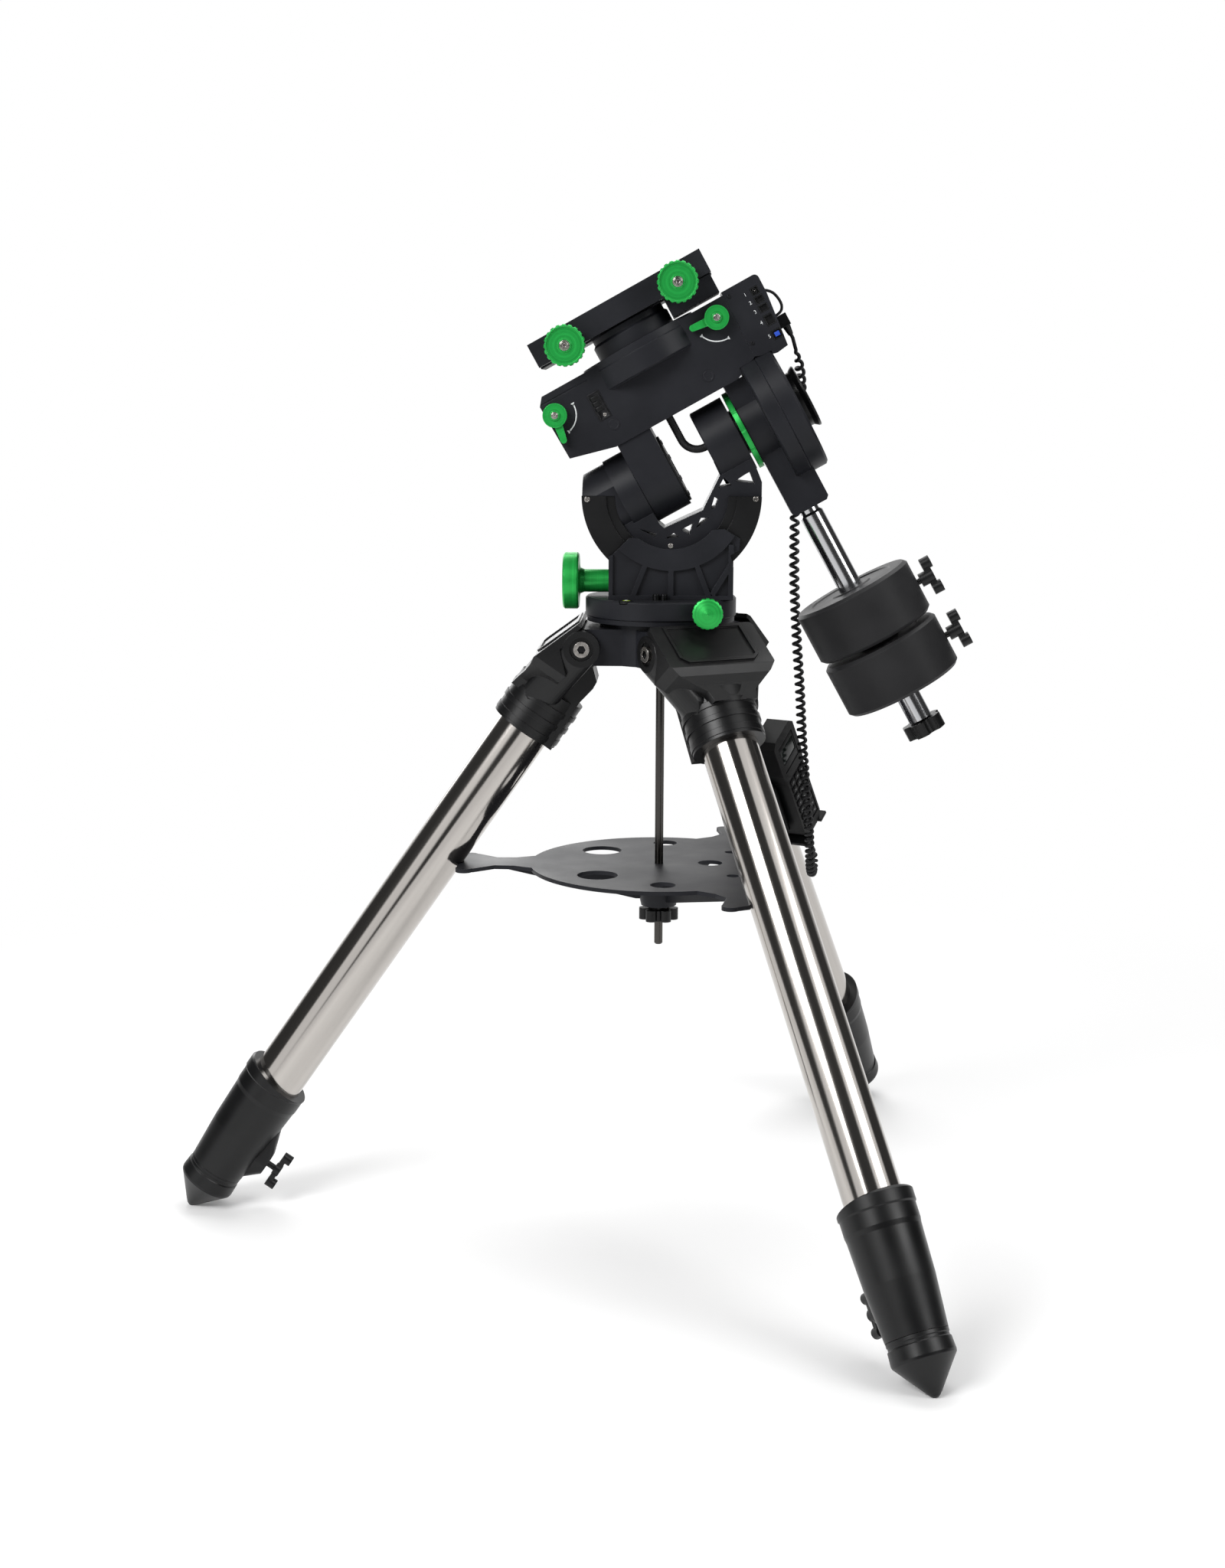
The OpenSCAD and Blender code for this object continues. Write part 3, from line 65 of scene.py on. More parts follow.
# Directions of the head: along the polar axis, across it, and towards the near side
POLAR = Vector(JOINTS["ra"]["axis"])
NEAR = Vector((0.0, -1.0, 0.0))
UPRIGHT = NEAR.cross(POLAR)
TILT_AXIS = Vector(JOINTS["altitude"]["pos_m"])

LEGS = {"left": 180.0, "front": -60.0, "rear": 60.0}
LEG_SPREAD = math.radians(34.8)

# Where the end caps of the legs begin, in mm from the hip bolts
LEG_CAP = 864.0

# Near faces of the bar, the box, the saddle knobs and the levers, and what sits on them, in mm
BAR_FACE, BOX_FACE, KNOB_FACE, LEVER_FACE = -52.0, -52.4, -89.4, -70.4
SADDLE_KNOBS = {"saddle_knob_south": (-26.5, 223.5), "saddle_knob_north": (130.5, 223.5)}
LEVERS = {"ra_lever": (152.0, 164.0), "dec_lever": (-79.0, 156.0)}
SOCKET_ROW, SOCKET_FLOOR = 208.0, -49.3
POWER_SOCKET, WIRED_SOCKETS, BLUE_SOCKET = 170.0, (158.5, 147.0, 131.0), 111.5

# Side of the hand controller that faces out, and the middle of its thickness, in mm from the leg's axis
HANDSET_FACE, HANDSET_MIDDLE = -78.0, -61.5

# Radius of the sockets in the hip bolts, in mm; faces inside it are darkened as painted shade
BOLT_SOCKET = 5.6


def head(a, y, b):
    """A point of the head, in mm along the polar axis, sideways and across it, from the altitude axis"""
    return TILT_AXIS + (POLAR * a + Vector((0, 1, 0)) * y + UPRIGHT * b) * MM


def leg_frame(leg):
    """Frame of a leg at its hip bolt, with +Z down the leg and +X inwards"""
    hip = Matrix.Translation(Vector(JOINTS[f"leg_{leg}_fold"]["pos_m"]))
    turn = Matrix.Rotation(math.radians(LEGS[leg]), 4, "Z")
    return hip @ turn @ Matrix.Rotation(math.pi - LEG_SPREAD, 4, "Y")


def on_leg(leg, inner, side, along):
    """A point of a leg, in mm inwards, sideways and down it, from its hip bolt"""
    return leg_frame(leg) @ (Vector((inner, side, along)) * MM)


def colour_setting(name, description, default):
    """A colour among the settings"""
    return FloatVectorProperty(name=name, description=description, default=default,
                               subtype="COLOR", size=3, min=0, max=1)


def width_setting(name, description, default, low, high):
    """A width among the settings, given in mm"""
    return FloatProperty(name=name, description=description, default=default * MM,
                         min=low * MM, max=high * MM, unit="LENGTH", precision=4)


class FinishSettings(bpy.types.PropertyGroup):
    """Colours of the mount's finishes"""

    coat: colour_setting(
        "Powder coat", "Satin coat of the head's castings", (0.0116, 0.0121, 0.0150))
    plastic: colour_setting(
        "Moulded plastic", "Glossier plastic of hips, collars and feet", (0.0028, 0.0029, 0.0033))
    green: colour_setting(
        "Green anodising", "Anodised aluminium of knobs, levers and ring", (0.016, 0.375, 0.062))
    steel: colour_setting(
        "Stainless steel", "Leg tubes, screws and the centre rod", (0.490, 0.464, 0.438))
    chrome: colour_setting(
        "Chrome", "Plating of the counterweight shaft", (0.540, 0.545, 0.560))
    iron: colour_setting(
        "Painted iron", "Dark grey paint of the counterweights", (0.0155, 0.0155, 0.0165))
    rubber: colour_setting(
        "Rubber", "Jacket of the cords and the hand controller's keys", (0.011, 0.011, 0.012))
    print_white: colour_setting(
        "Printed marks", "Pale ink of arrows and numbers", (0.600, 0.610, 0.620))


class CordSettings(bpy.types.PropertyGroup):
    """Sizes of the hand controller's curly cord and of the conduit"""

    cord_d: width_setting("Cord", "Diameter of the cord's jacket", 4.8, 1, 6)
    curl_d: width_setting("Curl", "Outside diameter of a curl", 14.0, 6, 20)
    curls: IntProperty(
        name="Curls", description="Turns of the curly cord", default=76, min=10, max=100)
    conduit_d: width_setting("Conduit", "Diameter of the conduit between bar and north drum", 10.0, 5, 14)


# Modelling by hand, in code

def clear_selection():
    """Leaves edit mode with nothing selected"""
    if bpy.context.object is not None and bpy.context.object.mode != "OBJECT":
        bpy.ops.object.mode_set(mode="OBJECT")
    bpy.ops.object.select_all(action="DESELECT")


def only(piece):
    """Selects one piece and makes it active"""
    clear_selection()
    piece.select_set(True)
    bpy.context.view_layer.objects.active = piece


def start(name, add, **how):
    """Adds a primitive as the start of a piece, and opens it in edit mode, all selected"""
    clear_selection()
    add(**how)
    piece = bpy.context.object
    piece.name = name
    piece.data.name = name
    bpy.ops.object.mode_set(mode="EDIT")
    bpy.ops.mesh.select_all(action="SELECT")
    return piece


def mend(piece):
    """Merges doubles and turns all faces outwards"""
    only(piece)
    bpy.ops.object.mode_set(mode="EDIT")
    bpy.ops.mesh.select_all(action="SELECT")
    bpy.ops.mesh.remove_doubles(threshold=1e-6)
    bpy.ops.mesh.normals_make_consistent(inside=False)
    bpy.ops.object.mode_set(mode="OBJECT")


def turned(name, profile, sides=40):
    """A turned piece on +Z: a disc drawn out ring by ring along a profile of (radius, height) in mm"""
    (radius, height), rest = profile[0], profile[1:]
    piece = start(name, bpy.ops.mesh.primitive_circle_add, vertices=sides, radius=radius * MM,
                  fill_type="NGON", location=(0, 0, height * MM))
    bpy.ops.mesh.select_mode(type="FACE")
    bpy.ops.mesh.select_all(action="SELECT")
    for wide, high in rest:
        bpy.ops.mesh.extrude_region_move(
            TRANSFORM_OT_translate={"value": (0, 0, (high - height) * MM)})
        bpy.ops.transform.resize(value=(wide / radius, wide / radius, 1), center_override=(0, 0, 0))
        radius, height = wide, high
    bpy.ops.object.mode_set(mode="OBJECT")
    only(piece)
    bpy.ops.object.transform_apply(location=True, rotation=True, scale=True)
    mend(piece)
    return piece


def carve(piece, tool, operation="DIFFERENCE"):
    """Cuts one piece with another, and removes the other"""
    only(piece)
    cut = piece.modifiers.new("cut", "BOOLEAN")
    cut.operation = operation
    cut.solver = "EXACT"
    cut.object = tool
    bpy.ops.object.modifier_apply(modifier=cut.name)
    bpy.data.objects.remove(tool)
    return piece


def aimed(at, along, across=None):
    """Frame at a point with +Z along a direction"""
    along = Vector(along).normalized()
    across = Vector(across or (0, 0, 1))
    if abs(along.dot(across.normalized())) > 0.99:
        across = Vector((1, 0, 0))
    side = across.cross(along).normalized()
    turn = Matrix((side, along.cross(side), along)).transposed().to_4x4()
    return Matrix.Translation(Vector(at)) @ turn


def put(piece, place):
    """Moves a piece modelled at the origin to its place, and applies it to the mesh"""
    only(piece)
    piece.matrix_world = place
    bpy.ops.object.transform_apply(location=True, rotation=True, scale=True)
    return piece


def joined(name, pieces):
    """Joins pieces into one object"""
    clear_selection()
    for piece in pieces:
        piece.select_set(True)
    bpy.context.view_layer.objects.active = pieces[0]
    bpy.ops.object.join()
    pieces[0].name = name
    pieces[0].data.name = name
    return pieces[0]


def copies(piece, places):
    """Copies a modelled piece to several places, as one object, and removes the pattern"""
    made = []
    for place in places:
        copy = piece.copy()
        copy.data = piece.data.copy()
        bpy.context.collection.objects.link(copy)
        made.append(put(copy, place))
    name = piece.name
    bpy.data.objects.remove(piece)
    return joined(name, made)


def finish_piece(piece, body, finish, angle=35.0):
    """Smooths, dresses and mounts a piece"""
    only(piece)
    bpy.ops.object.shade_smooth_by_angle(angle=math.radians(angle))
    piece.data.materials.clear()
    piece.data.materials.append(FINISHES[finish])
    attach(piece, body)
    return piece


def soft_edges(piece, width, segments=2, angle=40.0):
    """Rounds a piece's sharp edges with an applied bevel"""
    only(piece)
    edge = piece.modifiers.new("edge", "BEVEL")
    edge.width = width * MM
    edge.segments = segments
    edge.limit_method = "ANGLE"
    edge.angle_limit = math.radians(angle)
    edge.use_clamp_overlap = True
    bpy.ops.object.modifier_apply(modifier=edge.name)
    return piece


# Shared effects of the finishes

FLOAT, VECTOR = "NodeSocketFloat", "NodeSocketVector"


def shader_group(name, inputs, outputs):
    """An empty shader node group with named sockets"""
    group = bpy.data.node_groups.new(name, "ShaderNodeTree")
    for label, kind, value in inputs:
        socket = group.interface.new_socket(label, in_out="INPUT", socket_type=kind)
        if value is not None:
            socket.default_value = value
    for label, kind in outputs:
        group.interface.new_socket(label, in_out="OUTPUT", socket_type=kind)
    return group, group.nodes.new("NodeGroupInput"), group.nodes.new("NodeGroupOutput")


def feed(tree, socket, value):
    """Sets a socket to a value, or links another socket to it"""
    if isinstance(value, bpy.types.NodeSocket):
        tree.links.new(value, socket)
    else:
        socket.default_value = value


def add_math(tree, operation, first, second=None, clamp=False):
    """A Math node in a tree; each value is a socket or a number"""
    node = tree.nodes.new("ShaderNodeMath")
    node.operation = operation
    node.use_clamp = clamp
    for socket, value in zip(node.inputs, (first, second)):
        if value is not None:
            feed(tree, socket, value)
    return node.outputs[0]


def add_vector_math(tree, operation, output, first, second=None):
    """A Vector Math node in a tree; each value is a socket or a vector"""
    node = tree.nodes.new("ShaderNodeVectorMath")
    node.operation = operation
    feed(tree, node.inputs[0], first)
    if second is not None:
        feed(tree, node.inputs[1], second)
    return node.outputs[output]


def add_noise(tree, place, scale, detail, roughness=0.5):
    """A noise texture's value; the scale is a socket or a number"""
    noise = tree.nodes.new("ShaderNodeTexNoise")
    for label, value in (("Vector", place), ("Scale", scale), ("Detail", detail),
                         ("Roughness", roughness)):
        feed(tree, noise.inputs[label], value)
    return noise.outputs["Fac"]


def spread_range(tree, value, low, high, to_low, to_high):
    """A Map Range node that carries one range of values to another"""
    node = tree.nodes.new("ShaderNodeMapRange")
    for label, number in (("Value", value), ("From Min", low), ("From Max", high),
                          ("To Min", to_low), ("To Max", to_high)):
        feed(tree, node.inputs[label], number)
    return node.outputs["Result"]


def grain_group():
    """Fine orange peel of a coat, with a slow drift of tone"""
    group, given, out = shader_group(
        "fine_grain",
        [("Grain Size", FLOAT, 1500.0), ("Drift Size", FLOAT, 14.0)],
        [("Height", FLOAT), ("Drift", FLOAT)])
    place = coordinates(group)
    for scale, detail, label in (("Grain Size", 2.0, "Height"), ("Drift Size", 4.0, "Drift")):
        group.links.new(add_noise(group, place, given.outputs[scale], detail), out.inputs[label])
    return group


def edge_group():
    """Rounded edges for the light, and a mask along them where a coat is rubbed"""
    group, given, out = shader_group(
        "rubbed_edges",
        [("Rub", FLOAT, 0.5)],
        [("Normal", VECTOR), ("Mask", FLOAT)])
    bevel = group.nodes.new("ShaderNodeBevel")
    bevel.samples = 4
    bevel.inputs["Radius"].default_value = 0.9 * MM
    true = group.nodes.new("ShaderNodeNewGeometry").outputs["True Normal"]
    bend = add_vector_math(group, "DOT_PRODUCT", "Value", bevel.outputs["Normal"], true)
    turn = spread_range(group, bend, 0.985, 0.80, 0.0, 1.0)
    patchy = spread_range(group, add_noise(group, coordinates(group), 60.0, 5.0), 0.42, 0.66, 0.15, 1.0)
    mask = add_math(group, "MULTIPLY", turn, patchy)
    mask = add_math(group, "MULTIPLY", mask, given.outputs["Rub"], clamp=True)
    group.links.new(bevel.outputs["Normal"], out.inputs["Normal"])
    group.links.new(mask, out.inputs["Mask"])
    return group


def dust_group():
    """Thin dust that settles on faces that look up"""
    group, given, out = shader_group(
        "settled_dust",
        [("Amount", FLOAT, 0.3)],
        [("Mask", FLOAT)])
    geometry = group.nodes.new("ShaderNodeNewGeometry")
    split = group.nodes.new("ShaderNodeSeparateXYZ")
    group.links.new(geometry.outputs["Normal"], split.inputs[0])
    facing = spread_range(group, split.outputs["Z"], 0.35, 1.0, 0.0, 1.0)
    patchy = add_noise(group, coordinates(group), 35.0, 8.0, 0.65)
    patchy = spread_range(group, patchy, 0.35, 0.75, 0.2, 1.0)
    mask = add_math(group, "MULTIPLY", facing, patchy)
    mask = add_math(group, "MULTIPLY", mask, given.outputs["Amount"], clamp=True)
    group.links.new(mask, out.inputs["Mask"])
    return group


def turned_group():
    """Fine rings that a lathe leaves, about +Z of the coordinates given"""
    group, given, out = shader_group(
        "turned_rings",
        [("Vector", VECTOR, None), ("Pitch", FLOAT, 2600.0)],
        [("Height", FLOAT), ("Shade", FLOAT)])
    split = group.nodes.new("ShaderNodeSeparateXYZ")
    group.links.new(given.outputs["Vector"], split.inputs[0])
    flat = add_vector_math(group, "MULTIPLY", "Vector", given.outputs["Vector"], (1.0, 1.0, 0.0))
    line = group.nodes.new("ShaderNodeCombineXYZ")
    group.links.new(add_vector_math(group, "LENGTH", "Value", flat), line.inputs["X"])
    group.links.new(split.outputs["Z"], line.inputs["Y"])
    for scale, label in ((given.outputs["Pitch"], "Height"), (420.0, "Shade")):
        group.links.new(add_noise(group, line.outputs[0], scale, 3.0), out.inputs[label])
    return group


def drawn_group():
    """Fine lines that drawing and polishing leave along +Z of the coordinates given"""
    group, given, out = shader_group(
        "drawn_lines",
        [("Vector", VECTOR, None)],
        [("Height", FLOAT), ("Shade", FLOAT)])
    for stretch, scale, label in ((0.01, 900.0, "Height"), (0.03, 90.0, "Shade")):
        thin = add_vector_math(group, "MULTIPLY", "Vector", given.outputs["Vector"], (1.0, 1.0, stretch))
        group.links.new(add_noise(group, thin, scale, 3.0), out.inputs[label])
    return group


GROUPS = {}


def effect(tree, name, values):
    """Places a shared effect in a material with its values, building the group the first time"""
    makers = {"grain": grain_group, "edge": edge_group, "dust": dust_group,
              "turned": turned_group, "drawn": drawn_group}
    if name not in GROUPS:
        GROUPS[name] = makers[name]()
    node = tree.nodes.new("ShaderNodeGroup")
    node.node_tree = GROUPS[name]
    for label, value in values.items():
        feed(tree, node.inputs[label], value)
    return node


def blank_material(name, colour, roughness, metallic=0.0, specular=0.5):
    """A material with a Principled shader and its constant values"""
    material = bpy.data.materials.new(name)
    material.use_nodes = True
    shader = material.node_tree.nodes["Principled BSDF"]
    shader.inputs["Base Color"].default_value = (*colour, 1)
    shader.inputs["Roughness"].default_value = roughness
    shader.inputs["Metallic"].default_value = metallic
    shader.inputs["Specular IOR Level"].default_value = specular
    material.diffuse_color = (*colour, 1)
    return material, material.node_tree, shader


def mix_colour(tree, factor, first, second):
    """A colour mix; each colour is a socket or three numbers"""
    node = tree.nodes.new("ShaderNodeMix")
    node.data_type = "RGBA"
    tree.links.new(factor, node.inputs["Factor"])
    for place, tone in ((6, first), (7, second)):
        feed(tree, node.inputs[place], tone if isinstance(tone, bpy.types.NodeSocket) else (*tone, 1))
    return node.outputs[2]


def add_bump(tree, shader, height, strength, distance, normal=None):
    """A Bump node that feeds a shader's normal"""
    bump = tree.nodes.new("ShaderNodeBump")
    bump.inputs["Strength"].default_value = strength
    bump.inputs["Distance"].default_value = distance
    tree.links.new(height, bump.inputs["Height"])
    if normal is not None:
        tree.links.new(normal, bump.inputs["Normal"])
    tree.links.new(bump.outputs["Normal"], shader.inputs["Normal"])


def drifting(tree, noise, low=0.0, high=1.0):
    """Spreads the middle of a noise over a range of values"""
    return spread_range(tree, noise, 0.3, 0.7, low, high)


def surface(tree, shader, tone, rough):
    """Feeds a shader its colour and its roughness"""
    tree.links.new(tone, shader.inputs["Base Color"])
    tree.links.new(rough, shader.inputs["Roughness"])


def tint(colour, factor):
    """A colour made lighter or darker"""
    return tuple(min(1.0, channel * factor) for channel in colour)


def coated(name, colour, roughness, grain_size, grain, rub, dust, specular):
    """A painted or moulded finish with orange peel, rubbed edges and a little dust"""
    material, tree, shader = blank_material(name, colour, roughness, specular=specular)
    peel = effect(tree, "grain", {"Grain Size": grain_size})
    edge = effect(tree, "edge", {"Rub": rub})
    settled = effect(tree, "dust", {"Amount": dust})
    drift = drifting(tree, peel.outputs["Drift"])
    shade = mix_colour(tree, drift, tint(colour, 0.82), tint(colour, 1.22))
    rubbed = mix_colour(tree, edge.outputs["Mask"], shade, tint(colour, 5.0))
    dusty = mix_colour(tree, settled.outputs["Mask"], rubbed, (0.16, 0.155, 0.145))
    rough = drifting(tree, peel.outputs["Drift"], roughness - 0.05, roughness + 0.06)
    rough = add_math(tree, "SUBTRACT", rough, add_math(tree, "MULTIPLY", edge.outputs["Mask"], 0.12))
    surface(tree, shader, dusty, rough)
    add_bump(tree, shader, peel.outputs["Height"], grain, 0.12 * MM, edge.outputs["Normal"])
    return material


def coordinates(tree, place=None):
    """Object coordinates, turned into a frame with +Z along its axis where one is given"""
    coords = tree.nodes.new("ShaderNodeTexCoord")
    if place is None:
        return coords.outputs["Object"]
    back = place.inverted()
    mapping = tree.nodes.new("ShaderNodeMapping")
    mapping.inputs["Location"].default_value = back.to_translation()
    mapping.inputs["Rotation"].default_value = back.to_euler()
    tree.links.new(coords.outputs["Object"], mapping.inputs["Vector"])
    return mapping.outputs["Vector"]


def anodised(name, colour, place):
    """Green anodised aluminium with lathe rings about a piece's axis"""
    material, tree, shader = blank_material(name, colour, 0.34, metallic=0.45, specular=0.4)
    rings = effect(tree, "turned", {"Vector": coordinates(tree, place)})
    edge = effect(tree, "edge", {"Rub": 0.5})
    shade = drifting(tree, rings.outputs["Shade"])
    tone = mix_colour(tree, shade, tint(colour, 0.80), tint(colour, 1.15))
    worn = mix_colour(tree, edge.outputs["Mask"], tone, (0.20, 0.78, 0.30))
    rough = drifting(tree, rings.outputs["Shade"], 0.27, 0.40)
    surface(tree, shader, worn, rough)
    add_bump(tree, shader, rings.outputs["Height"], 0.35, 0.03 * MM, edge.outputs["Normal"])
    return material


def polished(name, colour, place, roughness):
    """Polished or plated metal with fine drawn lines along an axis"""
    material, tree, shader = blank_material(name, colour, roughness, metallic=1.0)
    lines = effect(tree, "drawn", {"Vector": coordinates(tree, place)})
    shade = drifting(tree, lines.outputs["Shade"])
    tone = mix_colour(tree, shade, tint(colour, 0.93), tint(colour, 1.04))
    rough = drifting(tree, lines.outputs["Shade"], roughness * 0.75, roughness * 1.3)
    surface(tree, shader, tone, rough)
    add_bump(tree, shader, lines.outputs["Height"], 0.06, 0.02 * MM)
    return material


def plain_metal(name, colour, roughness):
    """Machined metal of screws and small fittings, with fine scratches of tone"""
    material, tree, shader = blank_material(name, colour, roughness, metallic=1.0)
    peel = effect(tree, "grain", {"Grain Size": 2200.0, "Drift Size": 160.0})
    edge = effect(tree, "edge", {"Rub": 0.0})
    drift = drifting(tree, peel.outputs["Drift"])
    tone = mix_colour(tree, drift, tint(colour, 0.8), tint(colour, 1.1))
    rough = drifting(tree, peel.outputs["Drift"], roughness - 0.06, roughness + 0.1)
    surface(tree, shader, tone, rough)
    add_bump(tree, shader, peel.outputs["Height"], 0.1, 0.02 * MM, edge.outputs["Normal"])
    return material


FINISHES = {}


def make_finishes(finish):
    """Every material that is shared by several pieces"""
    # Roughness, size and strength of the grain, rubbed edges, dust and specular level
    for label, name, tone, *values in (
            ("coat", "powder_coat", finish.coat, 0.42, 1500.0, 0.30, 0.40, 0.04, 0.17),
            ("plastic", "moulded_plastic", finish.plastic, 0.36, 1100.0, 0.20, 0.25, 0.04, 0.34),
            ("handset", "handset_plastic", finish.plastic, 0.42, 1900.0, 0.30, 0.25, 0.03, 0.12),
            ("iron", "painted_iron", finish.iron, 0.48, 1200.0, 0.40, 0.5, 0.05, 0.17),
            ("rubber", "soft_rubber", finish.rubber, 0.52, 2400.0, 0.25, 0.0, 0.04, 0.22),
            ("print", "printed_ink", finish.print_white, 0.6, 2600.0, 0.1, 0.0, 0.05, 0.3),
            ("glass", "display_glass", (0.006, 0.009, 0.008), 0.16, 500.0, 0.02, 0.0, 0.02, 0.2),
            ("blue", "blue_insert", (0.015, 0.060, 0.420), 0.35, 1800.0, 0.1, 0.0, 0.0, 0.4),
            ("vial", "vial_fluid", (0.420, 0.620, 0.040), 0.10, 300.0, 0.02, 0.0, 0.0, 0.5),
            ("board", "circuit_board", (0.01, 0.10, 0.03), 0.4, 900.0, 0.3, 0.0, 0.05, 0.5)):
        FINISHES[label] = coated(name, tone, *values)
    for label, name, tone, roughness in (
            ("steel", "machined_steel", finish.steel, 0.26),
            ("black_steel", "blackened_steel", (0.03, 0.03, 0.032), 0.38),
            ("bronze", "worm_bronze", (0.60, 0.38, 0.14), 0.32)):
        FINISHES[label] = plain_metal(name, tone, roughness)


def dress(node, material):
    """Gives a CAD node its material"""
    piece = NODES[node]
    piece.data.materials.clear()
    piece.data.materials.append(material)


# Camera, floor and light

class MOUNT_OT_stage(bpy.types.Operator):
    """Camera at the photograph's angle, pale floor and the soft light of a studio"""

    bl_idname = "mount.stage"
    bl_label = "Stage"

    # Camera solved from the photograph: place in mm, yaw, pitch and roll in degrees, lens in mm
    EYE = (33.8, -2841.0, 1093.3)
    TURNS = (-1.91, 10.19, 0.21)
    LENS = 51.1

    # What metal sees: the backdrop between two bearings, and softboxes between two bearings and two heights
    BACKDROP = (52, 128)
    SOFTBOXES = ((-152, -121, -0.05, 0.58), (-66, 0, 0.48, 0.90))

    # Light of the dark room in metal, light on all other faces, and where the floor fades, in metres
    ROOM, AMBIENT = 0.05, 0.40
    FADE = (0.5, 1.9)

    def execute(self, context):
        scene = context.scene
        scene.view_settings.view_transform = "Standard"
        self.add_camera(scene)
        self.add_world(scene)
        self.add_floor()
        self.add_lights()
        return {"FINISHED"}

    def add_camera(self, scene):
        yaw, pitch, roll = (math.radians(angle) for angle in self.TURNS)
        turn = Matrix.Rotation(-yaw, 4, "Z") @ Matrix.Rotation(math.pi / 2 - pitch, 4, "X")
        turn = turn @ Matrix.Rotation(roll, 4, "Z")
        data = bpy.data.cameras.new("photo_camera")
        camera = bpy.data.objects.new("photo_camera", data)
        scene.collection.objects.link(camera)
        camera.matrix_world = Matrix.Translation(Vector(self.EYE) * MM) @ turn
        data.sensor_width = 36.0
        data.lens = self.LENS
        data.clip_end = 50.0
        scene.camera = camera

    def add_world(self, scene):
        """White for the eye; metal sees the backdrop, and a dark room with two softboxes before it"""
        world = bpy.data.worlds.new("studio")
        scene.world = world
        world.use_nodes = True
        tree = world.node_tree
        shade = tree.nodes["Background"]
        shade.inputs["Color"].default_value = (1, 1, 1, 1)
        way = tree.nodes.new("ShaderNodeSeparateXYZ")
        tree.links.new(tree.nodes.new("ShaderNodeTexCoord").outputs["Generated"], way.inputs[0])
        round_about = add_math(tree, "ARCTAN2", way.outputs["Y"], way.outputs["X"])
        bright = self.between(tree, round_about, *(math.radians(angle) for angle in self.BACKDROP), 0.20)
        for first, last, low, high in self.SOFTBOXES:
            across = self.between(tree, round_about, math.radians(first), math.radians(last), 0.05)
            upward = self.between(tree, way.outputs["Z"], low, high, 0.04)
            bright = add_math(tree, "MAXIMUM", bright, add_math(tree, "MULTIPLY", across, upward))
        path = tree.nodes.new("ShaderNodeLightPath")
        mirrored = spread_range(tree, bright, 0.0, 1.0, self.ROOM, 1.0)
        glossy = path.outputs["Is Glossy Ray"]
        mirrored = add_math(tree, "MULTIPLY", mirrored, glossy)
        plain = add_math(tree, "SUBTRACT", 1.0, glossy)
        seen = add_math(tree, "MAXIMUM", path.outputs["Is Camera Ray"], path.outputs["Is Transmission Ray"])
        plain = add_math(tree, "MULTIPLY", plain, spread_range(tree, seen, 0.0, 1.0, self.AMBIENT, 1.0))
        tree.links.new(add_math(tree, "ADD", mirrored, plain), shade.inputs["Strength"])

    def between(self, tree, value, low, high, soft):
        """A mask that is one between two values, with soft ends"""
        above = spread_range(tree, value, low - soft, low + soft, 0.0, 1.0)
        below = spread_range(tree, value, high - soft, high + soft, 1.0, 0.0)
        return add_math(tree, "MULTIPLY", above, below)

    def add_floor(self):
        floor = start("floor", bpy.ops.mesh.primitive_circle_add, vertices=96, radius=6.0,
                      fill_type="NGON", location=(0, 0, -0.0005))
        bpy.ops.mesh.inset(thickness=3.0, depth=0.0)
        bpy.ops.object.mode_set(mode="OBJECT")
        material, tree, shader = blank_material("pale_floor", (0.86, 0.86, 0.86), 0.9, specular=0.0)
        reach = add_vector_math(tree, "LENGTH", "Value", coordinates(tree))
        far = spread_range(tree, reach, *self.FADE, 0.0, 1.0)
        path = tree.nodes.new("ShaderNodeLightPath")
        seen = add_math(tree, "MAXIMUM", path.outputs["Is Camera Ray"], path.outputs["Is Glossy Ray"])
        seen = add_math(tree, "MAXIMUM", seen, path.outputs["Is Transmission Ray"])
        glow = tree.nodes.new("ShaderNodeEmission")
        glow.inputs["Color"].default_value = (1, 1, 1, 1)
        blend = tree.nodes.new("ShaderNodeMixShader")
        tree.links.new(add_math(tree, "MULTIPLY", far, seen), blend.inputs["Fac"])
        tree.links.new(shader.outputs[0], blend.inputs[1])
        tree.links.new(glow.outputs[0], blend.inputs[2])
        tree.links.new(blend.outputs[0], tree.nodes["Material Output"].inputs["Surface"])
        floor.data.materials.append(material)

    def add_lights(self):
        aim = Vector((0.05, 0.0, 0.75))
        for name, place, size, power in (
                ("key_softbox", (-2.1, -2.6, 2.8), (2.0, 1.7), 120.0),
                ("fill_softbox", (2.6, -1.9, 2.6), (1.6, 1.8), 44.0),
                ("top_softbox", (0.2, 0.9, 3.4), (2.6, 2.0), 60.0),
                ("back_softbox", (-1.2, 3.0, 1.8), (2.0, 2.0), 34.0)):
            data = bpy.data.lights.new(name, "AREA")
            data.shape = "RECTANGLE"
            data.size, data.size_y = size
            data.energy = power
            lamp = bpy.data.objects.new(name, data)
            bpy.context.scene.collection.objects.link(lamp)
            lamp.matrix_world = aimed(place, Vector(place) - aim)


# Cords

